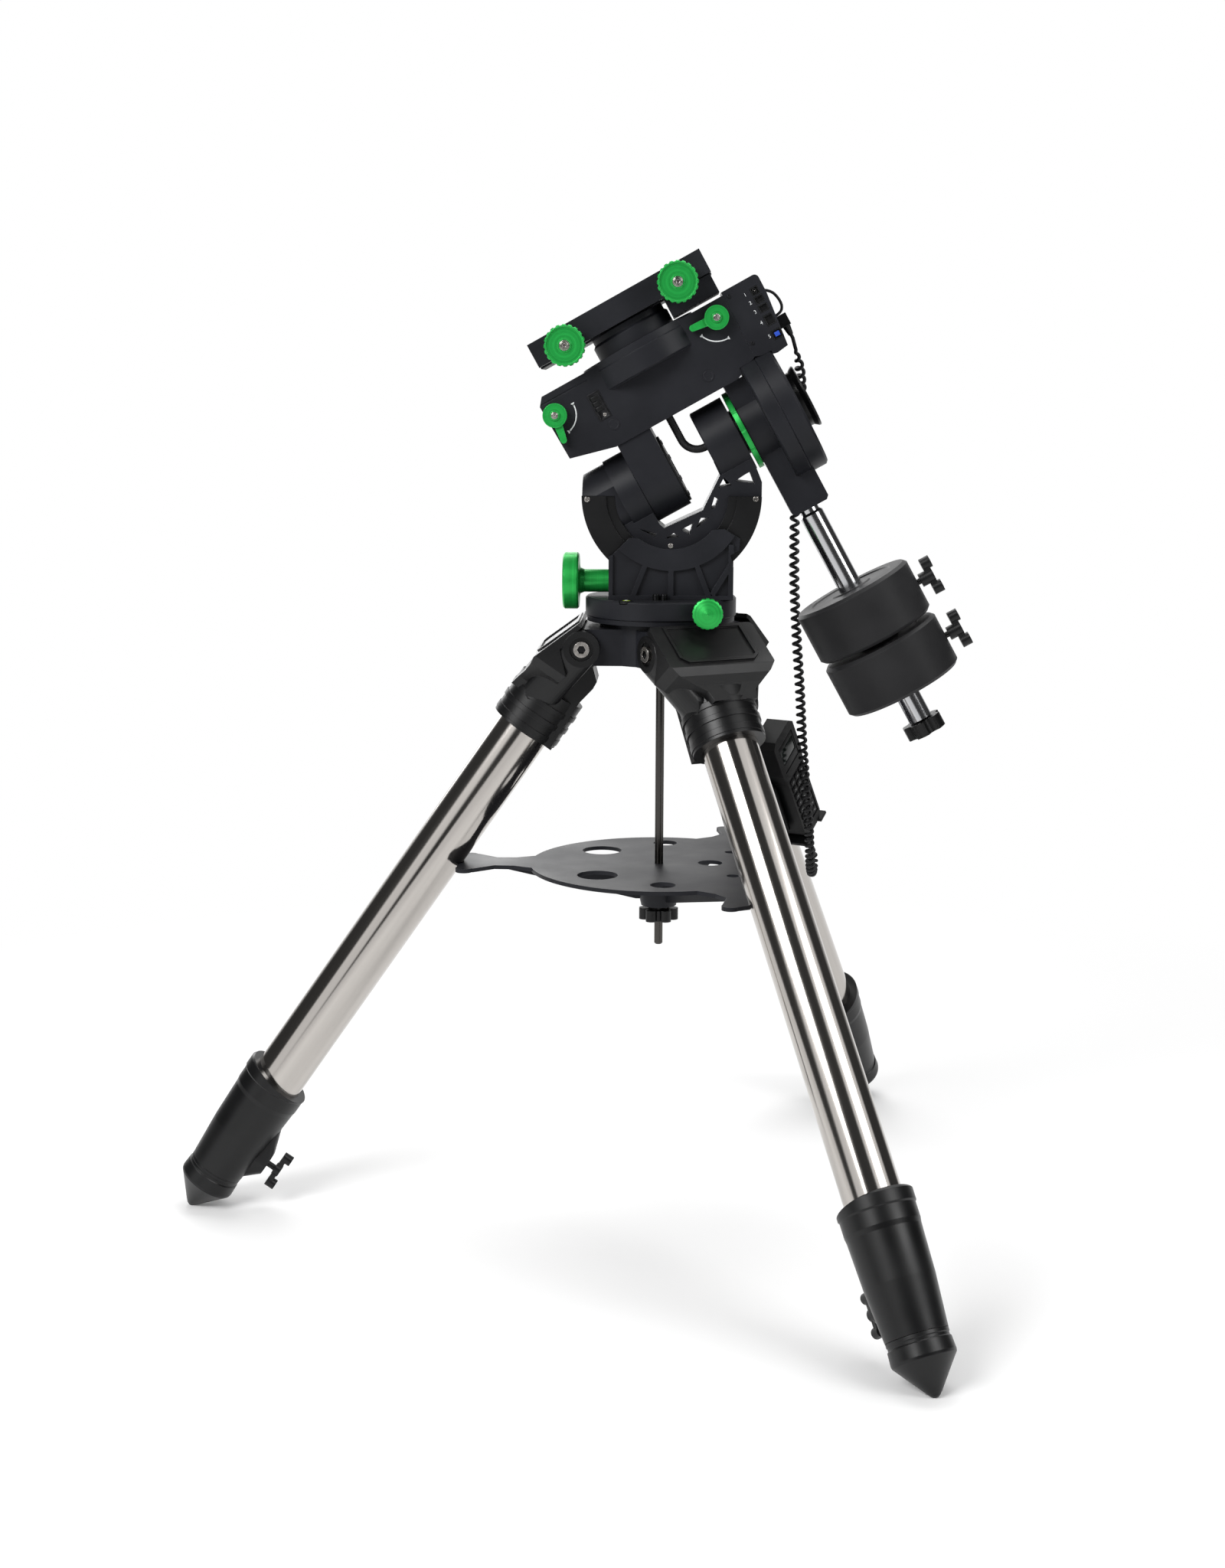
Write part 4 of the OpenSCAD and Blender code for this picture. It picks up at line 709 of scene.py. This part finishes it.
# Places that the curly cord passes, from the box's plug to the hand controller, in metres
CORD_ROUTE = [
    (0.168, 0.030, 1.136), (0.174, 0.050, 1.114), (0.178, 0.078, 1.086), (0.177, 0.101, 1.050),
    (0.174, 0.109, 1.000), (0.174, 0.110, 0.930), (0.175, 0.112, 0.840), (0.180, 0.120, 0.760),
    (0.186, 0.130, 0.690), (0.191, 0.142, 0.620), (0.197, 0.155, 0.560), (0.203, 0.168, 0.505),
    (0.206, 0.180, 0.464), (0.208, 0.193, 0.438), (0.211, 0.212, 0.422), (0.214, 0.232, 0.421),
    (0.215, 0.245, 0.434), (0.211, 0.242, 0.454),
]
PLUG = (226.0, 26.0, 102.0)
CORD_FROM = head(*PLUG)
CORD_END = 360.0
CORD_TO = on_leg("rear", 0, HANDSET_MIDDLE, CORD_END)


def route_point(route, place):
    """A point of the smooth curve through a route, at a place counted in points"""
    last = len(route) - 1
    index = min(int(place), last - 1)
    share = place - index
    before, first = route[max(index - 1, 0)], route[index]
    second, after = route[index + 1], route[min(index + 2, last)]
    return 0.5 * (2 * first + (second - before) * share
                  + (2 * before - 5 * first + 4 * second - after) * share ** 2
                  + (3 * first - before - 3 * second + after) * share ** 3)


def tube(name, points, radius, sides=10, swell=None):
    """A closed tube along a line of points, as a mesh; swell gives each ring's share of the radius"""
    data = bpy.data.curves.new(name, "CURVE")
    data.dimensions = "3D"
    data.bevel_depth = radius
    data.bevel_resolution = sides // 2 - 2
    data.use_fill_caps = True
    line = data.splines.new("POLY")
    line.points.add(len(points) - 1)
    for index, point in enumerate(points):
        line.points[index].co = (*point, 1.0)
        line.points[index].radius = 1.0 if swell is None else swell(index)
    piece = bpy.data.objects.new(name, data)
    bpy.context.scene.collection.objects.link(piece)
    only(piece)
    bpy.ops.object.convert(target="MESH")
    piece = bpy.context.object
    mend(piece)
    bpy.ops.object.shade_smooth_by_angle(angle=math.radians(60))
    return piece


class MOUNT_OT_handset_cord(bpy.types.Operator):
    """Curly cord from the electronics box to the hand controller, in five lengths"""

    bl_idname = "mount.handset_cord"
    bl_label = "Curly cord"

    # Points of a curl and of a stretch of route, curls that draw in, and a way the route never takes
    STEPS, FINE = 20, 12
    OPEN_SHARE, LEAD = 0.3, 0.02
    DRAW_IN = 2.2
    ASIDE = (0.31, 0.95, 0.05)

    def execute(self, context):
        size = context.scene.mount_cords
        line = self.helix(size)
        joints = (("ra_body", "cradle", 0.985), ("cradle", "az_base", 0.900),
                  ("az_base", "tripod", 0.760), ("tripod", "leg_rear", 0.500),
                  ("leg_rear", "handset", None))
        begin = 0
        for number, (upper, lower, floor) in enumerate(joints):
            end = len(line) - 1
            if floor is not None:
                end = next(i for i, p in enumerate(line) if p.z < floor and i > begin + self.STEPS)
            points = line[begin:end + 1]
            piece = tube(f"curly_cord_{number + 1}", points, size.cord_d / 2)
            piece.data.materials.append(FINISHES["rubber"])
            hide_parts("handset_cord")
            if floor is None:
                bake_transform(piece)
            else:
                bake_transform(piece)
            begin = end
        return {"FINISHED"}

    def helix(self, size):
        """Centre line of the cord: a helix about the route, drawn in at both ends"""
        route = [CORD_FROM] + [Vector(point) for point in CORD_ROUTE] + [CORD_TO]
        count = (len(route) - 1) * self.FINE
        places = [route_point(route, k / self.FINE) for k in range(count + 1)]
        lengths = [0.0]
        for first, second in zip(places, places[1:]):
            lengths.append(lengths[-1] + (second - first).length)
        total = lengths[-1]
        radius = (size.curl_d - size.cord_d) / 2
        steps = size.curls * self.STEPS
        line = [route[0], head(PLUG[0], PLUG[1], PLUG[2] - size.cord_d / MM)]
        spot = 0
        for k in range(steps + 1):
            share = k / steps
            close = share * (1 + self.OPEN_SHARE) - self.OPEN_SHARE * share * share
            along = total * (self.LEAD + (1 - 2 * self.LEAD) * close)
            while spot < count - 1 and lengths[spot + 1] < along:
                spot += 1
            place = (spot + (along - lengths[spot]) / (lengths[spot + 1] - lengths[spot])) / self.FINE
            ahead = route_point(route, min(place + 0.05, len(route) - 1))
            tangent = (ahead - route_point(route, max(place - 0.05, 0))).normalized()
            side = tangent.cross(Vector(self.ASIDE)).normalized()
            other = tangent.cross(side)
            swell = min(1.0, min(share, 1 - share) * size.curls / self.DRAW_IN)
            turn = 2 * math.pi * k / self.STEPS
            line.append(route_point(route, place)
                        + swell * radius * (math.cos(turn) * side + math.sin(turn) * other))
        return line + [on_leg("rear", 0, HANDSET_MIDDLE, CORD_END + size.cord_d / MM), route[-1]]


class MOUNT_OT_cable_loop(bpy.types.Operator):
    """Ribbed conduit from under the bar into the north drum"""

    bl_idname = "mount.cable_loop"
    bl_label = "Conduit"

    def execute(self, context):
        size = context.scene.mount_cords
        bend, side, top, drop, out = 22.0, -20.0, 87.0, 54.0, 43.0
        points = [head(out, side, top - (top - drop) * k / 40) for k in range(40)]
        for k in range(61):
            turn = math.radians(90.0 * k / 60)
            points.append(head(out + bend - bend * math.cos(turn), side, drop - bend * math.sin(turn)))
        points.append(head(out + bend + 2.0, side, drop - bend))
        piece = tube("conduit", points, size.conduit_d / 2, sides=20,
                     swell=lambda index: 1.0 if index % 3 else 0.93)
        piece.data.materials.append(FINISHES["rubber"])
        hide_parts("cable_loop")
        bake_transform(piece)
        return {"FINISHED"}


# Small fittings

# Frame of the head's near face: +X along the polar axis, +Y across it, +Z towards the viewer
def on_face(a, b, y=BAR_FACE):
    """Frame on the near side of the head"""
    return aimed(head(a, y, b), NEAR, UPRIGHT)


def on_handset(across, along, depth=0.0):
    """Frame on the hand controller's face, with +Y up the leg and +Z out of the face"""
    turn = Matrix(((-1, 0, 0), (0, 0, -1), (0, -1, 0))).to_4x4()
    return Matrix.Translation(on_leg("rear", -across, HANDSET_FACE + depth, along)) @ (
        leg_frame("rear").to_3x3().to_4x4() @ turn)


def cutter(sides, radius, depth, middle):
    """A cutter on +Z, in mm"""
    piece = start("cutter", bpy.ops.mesh.primitive_cylinder_add, vertices=sides, radius=radius * MM,
                  depth=depth * MM, location=(0, 0, middle * MM))
    bpy.ops.object.mode_set(mode="OBJECT")
    return piece


def cap_screw(name, radius, height):
    """A screw head on +Z with a hexagon socket"""
    piece = turned(name, [(radius, 0), (radius, height - 0.16 * radius), (0.88 * radius, height)], 28)
    return carve(piece, cutter(6, 0.52 * radius, 1.3 * height, height))


def block(name, wide, tall, deep, edge):
    """A rounded block on +Z, from a cube"""
    piece = start(name, bpy.ops.mesh.primitive_cube_add, size=1.0)
    bpy.ops.transform.resize(value=(wide * MM, tall * MM, deep * MM), center_override=(0, 0, 0))
    bpy.ops.transform.translate(value=(0, 0, deep * MM / 2))
    bpy.ops.object.mode_set(mode="OBJECT")
    return soft_edges(piece, edge, 3)


class MOUNT_OT_body_screws(bpy.types.Operator):
    """Cap screws of the bracket cover, the arc rails, the altitude base and the electronics box"""

    bl_idname = "mount.body_screws"
    bl_label = "Body screws"

    def execute(self, context):
        ring = [math.radians(45 * k + 22) for k in range(8)]
        cover = [aimed(head(17.4, -39 * math.sin(t), 27 + 39 * math.cos(t)), POLAR) for t in ring]
        rails = [aimed(Vector((x, side * 45.3, z)) * MM, (0, side, 0))
                 for side in (-1, 1) for x, z in ((-92.4, 951.3), (117.8, 953.0))]
        lips = [aimed(Vector((12.4, side * 57.0, 895.0)) * MM, (0, side, 0)) for side in (-1, 1)]
        feet = [aimed(Vector((x, side * 62.5, 827.6)) * MM, (0, 0, 1))
                for side in (-1, 1) for x in (-5.3, 4.6)]
        box = [on_face(177.2, 179.2, BOX_FACE), on_face(176.0, 115.7, BOX_FACE)]
        for name, body, radius, height, places, finish in (
                ("cover_screws", "ra_body", 3.3, 2.6, cover, "black_steel"),
                ("rail_screws", "cradle", 3.6, 2.2, rails, "steel"),
                ("lip_screws", "az_base", 3.2, 2.0, lips, "steel"),
                ("foot_screws", "az_base", 4.2, 7.5, feet, "black_steel"),
                ("box_screws", "ra_body", 2.2, 0.9, box, "black_steel")):
            screws = copies(cap_screw(name, radius, height), places)
            finish_piece(screws, body, finish)
        return {"FINISHED"}


class MOUNT_OT_knob_screws(bpy.types.Operator):
    """Steel screws in the middle of the saddle knobs and the gear levers"""

    bl_idname = "mount.knob_screws"
    bl_label = "Knob screws"

    def execute(self, context):
        places = [(body, 6.4, on_face(*spot, KNOB_FACE)) for body, spot in SADDLE_KNOBS.items()]
        places += [(body, 4.4, on_face(*spot, LEVER_FACE)) for body, spot in LEVERS.items()]
        for body, radius, place in places:
            washer = turned(f"{body}_screw", [(radius, 0), (radius, 0.7), (0.94 * radius, 1.0)], 32)
            screw = put(cap_screw("screw", 0.78 * radius, 1.4), Matrix.Translation((0, 0, 0.8 * MM)))
            piece = put(carve(washer, screw, "UNION"), place)
            finish_piece(piece, body, "steel")
        return {"FINISHED"}


class MOUNT_OT_level_vial(bpy.types.Operator):
    """Round bubble level in the azimuth disc"""

    bl_idname = "mount.level_vial"
    bl_label = "Bubble level"

    # Place on top of the azimuth disc, in mm
    SPOT = (-42.0, -78.0, 827.5)

    def execute(self, context):
        place = Matrix.Translation(Vector(self.SPOT) * MM)
        rim = turned("level_rim", [(8.6, -3.0), (8.6, 0.5), (8.0, 0.9), (7.0, 0.9)], 40)
        finish_piece(put(carve(rim, cutter(40, 6.6, 6, 1)), place), "az_base", "plastic")
        vial = turned("level_vial", [(6.5, -2.6), (6.5, -0.2), (5.6, 0.4), (3.6, 0.9), (1.2, 1.1)], 40)
        finish_piece(put(vial, place), "az_base", "vial", 60)
        bubble = turned("level_bubble", [(2.2, 0.9), (2.1, 1.2), (1.4, 1.4), (0.5, 1.5)], 24)
        finish_piece(put(bubble, place), "az_base", "print", 60)
        return {"FINISHED"}


class MOUNT_OT_marks(bpy.types.Operator):
    """Printed arcs with arrows at the gear levers, and plain numbers beside the sockets"""

    bl_idname = "mount.marks"
    bl_label = "Printed marks"

    # Thickness of the ink and its lift off the faces, and the numbers' places, in mm
    THICK = 0.1
    LIFT = 0.05
    NUMBERS = ((195.4, 171.0), (196.4, 159.4), (196.6, 147.0), (197.1, 131.9), (198.2, 112.8))

    def execute(self, context):
        pieces = []
        for lever, radius, first, last in (
                ("ra_lever", 28.5, -158.0, -88.0), ("dec_lever", 26.0, -78.0, 4.0)):
            spot = on_face(*LEVERS[lever], BAR_FACE - self.LIFT)
            turn = Matrix.Rotation(math.radians(last), 4, "Z")
            pieces.append(put(self.arc(radius, last - first), spot @ turn))
            for angle, aim in ((first, -90.0), (last, 90.0)):
                at = Matrix.Rotation(math.radians(angle), 4, "Z") @ Matrix.Translation((radius * MM, 0, 0))
                pieces.append(put(self.arrow(), spot @ at @ Matrix.Rotation(math.radians(aim), 4, "Z")))
        for number, spot in enumerate(self.NUMBERS):
            pieces.append(put(self.numeral(number + 1), on_face(*spot, BOX_FACE - self.LIFT)))
        finish_piece(joined("printed_marks", pieces), "ra_body", "print")
        return {"FINISHED"}

    def arc(self, radius, angle):
        piece = start("arc", bpy.ops.mesh.primitive_plane_add, size=1.0)
        bpy.ops.transform.rotate(value=math.pi / 2, orient_axis="X", center_override=(0, 0, 0))
        bpy.ops.transform.resize(value=(1.5 * MM, 1, self.THICK * MM), center_override=(0, 0, 0))
        bpy.ops.transform.translate(value=(radius * MM, 0, self.THICK * MM / 2))
        bpy.ops.mesh.spin(steps=20, angle=math.radians(angle), center=(0, 0, 0), axis=(0, 0, 1))
        mend(piece)
        return piece

    def arrow(self):
        piece = start("arrow", bpy.ops.mesh.primitive_circle_add, vertices=3, radius=2.8 * MM,
                      fill_type="NGON")
        bpy.ops.transform.rotate(value=-math.pi / 2, orient_axis="Z", center_override=(0, 0, 0))
        bpy.ops.mesh.extrude_region_move(TRANSFORM_OT_translate={"value": (0, 0, self.THICK * MM)})
        mend(piece)
        return piece

    def numeral(self, number):
        clear_selection()
        bpy.ops.object.text_add()
        piece = bpy.context.object
        piece.data.body = str(number)
        piece.data.size = 6.4 * MM
        piece.data.extrude = self.THICK * MM / 2
        piece.data.align_x = piece.data.align_y = "CENTER"
        bpy.ops.object.convert(target="MESH")
        piece = bpy.context.object
        mend(piece)
        return piece


class MOUNT_OT_sockets(bpy.types.Operator):
    """Insides of the box's sockets: a pin, rows of contacts and a blue tongue"""

    bl_idname = "mount.sockets"
    bl_label = "Sockets"

    def execute(self, context):
        place = on_face(SOCKET_ROW, POWER_SOCKET, SOCKET_FLOOR)
        barrel = turned("power_barrel", [(3.3, 0), (3.3, 2.4), (2.9, 2.6), (2.4, 2.6), (2.2, 0.6)], 28)
        finish_piece(put(barrel, place), "ra_body", "plastic")
        pin = turned("power_pin", [(0.9, 0), (0.9, 2.0), (0.6, 2.4)], 16)
        finish_piece(put(pin, place), "ra_body", "steel")
        places = [on_face(SOCKET_ROW + (k - 2.5) * 1.3, b + 2.2, SOCKET_FLOOR)
                  for b in WIRED_SOCKETS for k in range(6)]
        contacts = copies(block("socket_contacts", 0.5, 3.2, 0.5, 0.12), places)
        finish_piece(contacts, "ra_body", "black_steel")
        place = on_face(SOCKET_ROW, BLUE_SOCKET, SOCKET_FLOOR)
        tongue = put(block("blue_tongue", 6.4, 5.6, 2.5, 0.4), place)
        finish_piece(tongue, "ra_body", "blue")
        return {"FINISHED"}


class MOUNT_OT_bar_fittings(bpy.types.Operator):
    """Round plugs, the framed port and the strap loop on the bar and its box"""

    bl_idname = "mount.bar_fittings"
    bl_label = "Bar fittings"

    # Places in mm along and across the polar axis; the port's insides start under the bar's face
    PLUGS = ((110.1, 107.0), (-20.4, 111.5))
    PORT, PORT_SCREW = (-25.6, 140.2), (-24.6, 127.4)
    PORT_SOCKETS = ((-26.6, 150.6), (-26.6, 143.6), (-26.6, 136.6))
    PORT_FLOOR = BAR_FACE + 0.1
    LOOP = ((218.6, 166.5), (223.4, 164.5), (229.0, 158.0), (231.6, 149.0),
            (231.6, 140.5), (228.6, 134.8), (224.0, 132.4), (218.6, 131.6))

    def execute(self, context):
        plug = turned("bar_plugs", [(7.2, 0), (7.2, 0.5), (6.7, 0.9), (5.2, 0.9), (4.8, 0.5),
                                    (1.6, 0.4)], 36)
        plugs = copies(plug, [on_face(*spot) for spot in self.PLUGS])
        finish_piece(plugs, "ra_body", "coat")
        frame_piece = block("bar_port", 16.6, 36.0, 1.0, 0.3)
        hole = put(block("cutter", 13.6, 33.0, 4.0, 0.8), Matrix.Translation((0, 0, 0.25 * MM)))
        frame_piece = put(carve(frame_piece, hole), on_face(*self.PORT))
        finish_piece(frame_piece, "ra_body", "black_steel")
        inner = copies(block("bar_port_socket", 9.4, 5.4, 1.3, 0.3),
                       [on_face(*spot, self.PORT_FLOOR) for spot in self.PORT_SOCKETS])
        finish_piece(inner, "ra_body", "plastic")
        screw = put(cap_screw("bar_port_screw", 2.3, 1.4), on_face(*self.PORT_SCREW, self.PORT_FLOOR))
        finish_piece(screw, "ra_body", "steel")
        loop = [head(a, 0, b) for a, b in self.LOOP]
        line = [route_point(loop, k / 6) for k in range((len(loop) - 1) * 6 + 1)]
        strap = tube("strap_loop", line, 1.8 * MM, 12)
        finish_piece(strap, "ra_body", "rubber", 60)
        return {"FINISHED"}


class MOUNT_OT_handset_face(bpy.types.Operator):
    """Display, bezel and key mat of the hand controller"""

    bl_idname = "mount.handset_face"
    bl_label = "Hand controller face"

    # Places in mm down the leg, and the rows and columns of keys with their steps
    DISPLAY, BEZEL, MAT, FIRST_KEY = 196, 198, 281, 243
    ROWS, ROW_STEP, COLUMNS, COLUMN_STEP = 7, 12.8, 3, 13.4

    def execute(self, context):
        glass = put(block("handset_display", 41.0, 26.0, 1.0, 0.3), on_handset(0, self.DISPLAY, 2.0))
        finish_piece(glass, "handset", "glass")
        bezel = block("handset_bezel", 43.6, 42.6, 1.5, 0.5)
        hole = put(block("cutter", 38.0, 23.0, 6.0, 1.0), Matrix.Translation((0, 2.0 * MM, -2 * MM)))
        bezel = put(carve(bezel, hole), on_handset(0, self.BEZEL, 2.0))
        finish_piece(bezel, "handset", "handset")
        mat = put(block("handset_mat", 43.4, 93.0, 1.0, 0.4), on_handset(0, self.MAT, 2.4))
        finish_piece(mat, "handset", "rubber")
        keys = [on_handset((column - 1) * self.COLUMN_STEP, self.FIRST_KEY + self.ROW_STEP * row, 1.6)
                for row in range(self.ROWS) for column in range(self.COLUMNS)]
        caps = copies(block("handset_keys", 10.2, 8.0, 2.4, 1.0), keys)
        finish_piece(caps, "handset", "rubber", 60)
        marks = copies(block("handset_key_marks", 3.0, 0.7, 0.12, 0.03),
                       [place @ Matrix.Translation((0, 0, 2.38 * MM)) for place in keys])
        finish_piece(marks, "handset", "print")
        return {"FINISHED"}


# Finishes of the CAD pieces

class MOUNT_OT_finishes(bpy.types.Operator):
    """Materials of all the CAD pieces"""

    bl_idname = "mount.finishes"
    bl_label = "Finishes"

    def execute(self, context):
        finish = context.scene.mount_finish
        slots = {part["node"]: part["material_slot"] for part in frame["record"]["subparts"]}
        for node, slot in slots.items():
            if slot in FINISHES:
                dress(node, FINISHES[slot])
        for leg in LEGS:
            dress(f"tube_{leg}", polished(f"tube_steel_{leg}", finish.steel, leg_frame(leg), 0.13))
            lower = NODES[f"lower_leg_{leg}"]
            lower.data.materials.append(polished(f"lower_steel_{leg}", finish.steel, leg_frame(leg), 0.16))
            cap = on_leg(leg, 0, 0, LEG_CAP)
            axis = (cap - on_leg(leg, 0, 0, 0)).normalized()
            for face in lower.data.polygons:
                face.material_index = int((face.center - cap).dot(axis) < 0)
        # The centre rod takes the tubes' steel darkened to 0.15 of its tone: painted shade under the head
        dress("center_rod", polished("rod_steel_painted_shade", tint(finish.steel, 0.15), Matrix(), 0.22))
        # Faces inside the hex sockets of the hip bolts take the blackened steel: painted shade in the recesses
        bolts = NODES["hip_bolts"]
        bolts.data.materials.append(FINISHES["black_steel"])
        for leg in LEGS:
            hip, axis = (Vector(JOINTS[f"leg_{leg}_fold"][label]) for label in ("pos_m", "axis"))
            for face in bolts.data.polygons:
                offset = face.center - hip
                reach = BOLT_SOCKET if abs(face.normal.dot(axis)) < 0.5 else 0.8 * BOLT_SOCKET
                if (offset - axis * offset.dot(axis)).length < reach * MM:
                    face.material_index = 1
        shaft = aimed(head(143, 0, 0), UPRIGHT)
        dress("counterweight_shaft", polished("shaft_chrome", finish.chrome, shaft, 0.15))
        for node in (*SADDLE_KNOBS, *LEVERS, "az_knob_near", "az_knob_far", "altitude_knob", "ra_ring"):
            joint = JOINTS["ra" if node == "ra_ring" else f"{node}_turn"]
            place = aimed(joint["pos_m"], joint["axis"])
            dress(node, anodised(f"green_{node}", finish.green, place))
        return {"FINISHED"}


PIECES = (MOUNT_OT_stage, MOUNT_OT_handset_cord, MOUNT_OT_cable_loop, MOUNT_OT_body_screws,
          MOUNT_OT_knob_screws, MOUNT_OT_level_vial, MOUNT_OT_marks, MOUNT_OT_sockets,
          MOUNT_OT_bar_fittings, MOUNT_OT_handset_face, MOUNT_OT_finishes)


class MOUNT_PT_panel(bpy.types.Panel):
    """Lists the mount's steps and its settings"""

    bl_idname = "MOUNT_PT_panel"
    bl_label = "Equatorial mount"
    bl_space_type = "VIEW_3D"
    bl_region_type = "UI"
    bl_category = "Mount"

    def draw(self, context):
        for step in PIECES:
            self.layout.operator(step.bl_idname)
        for settings in (context.scene.mount_finish, context.scene.mount_cords):
            box = self.layout.box()
            for label in settings.bl_rna.properties.keys():
                if label not in ("rna_type", "name"):
                    box.prop(settings, label)


CLASSES = (FinishSettings, CordSettings, *PIECES, MOUNT_PT_panel)


def register():
    for kind in CLASSES:
        bpy.utils.register_class(kind)
    bpy.types.Scene.mount_finish = PointerProperty(type=FinishSettings)
    bpy.types.Scene.mount_cords = PointerProperty(type=CordSettings)


def unregister():
    del bpy.types.Scene.mount_cords
    del bpy.types.Scene.mount_finish
    for kind in reversed(CLASSES):
        bpy.utils.unregister_class(kind)


def main():
    register()
    make_finishes(bpy.context.scene.mount_finish)
    for step in PIECES:
        group, name = step.bl_idname.split(".")
        getattr(getattr(bpy.ops, group), name)()


if __name__ == "__main__":
    main()
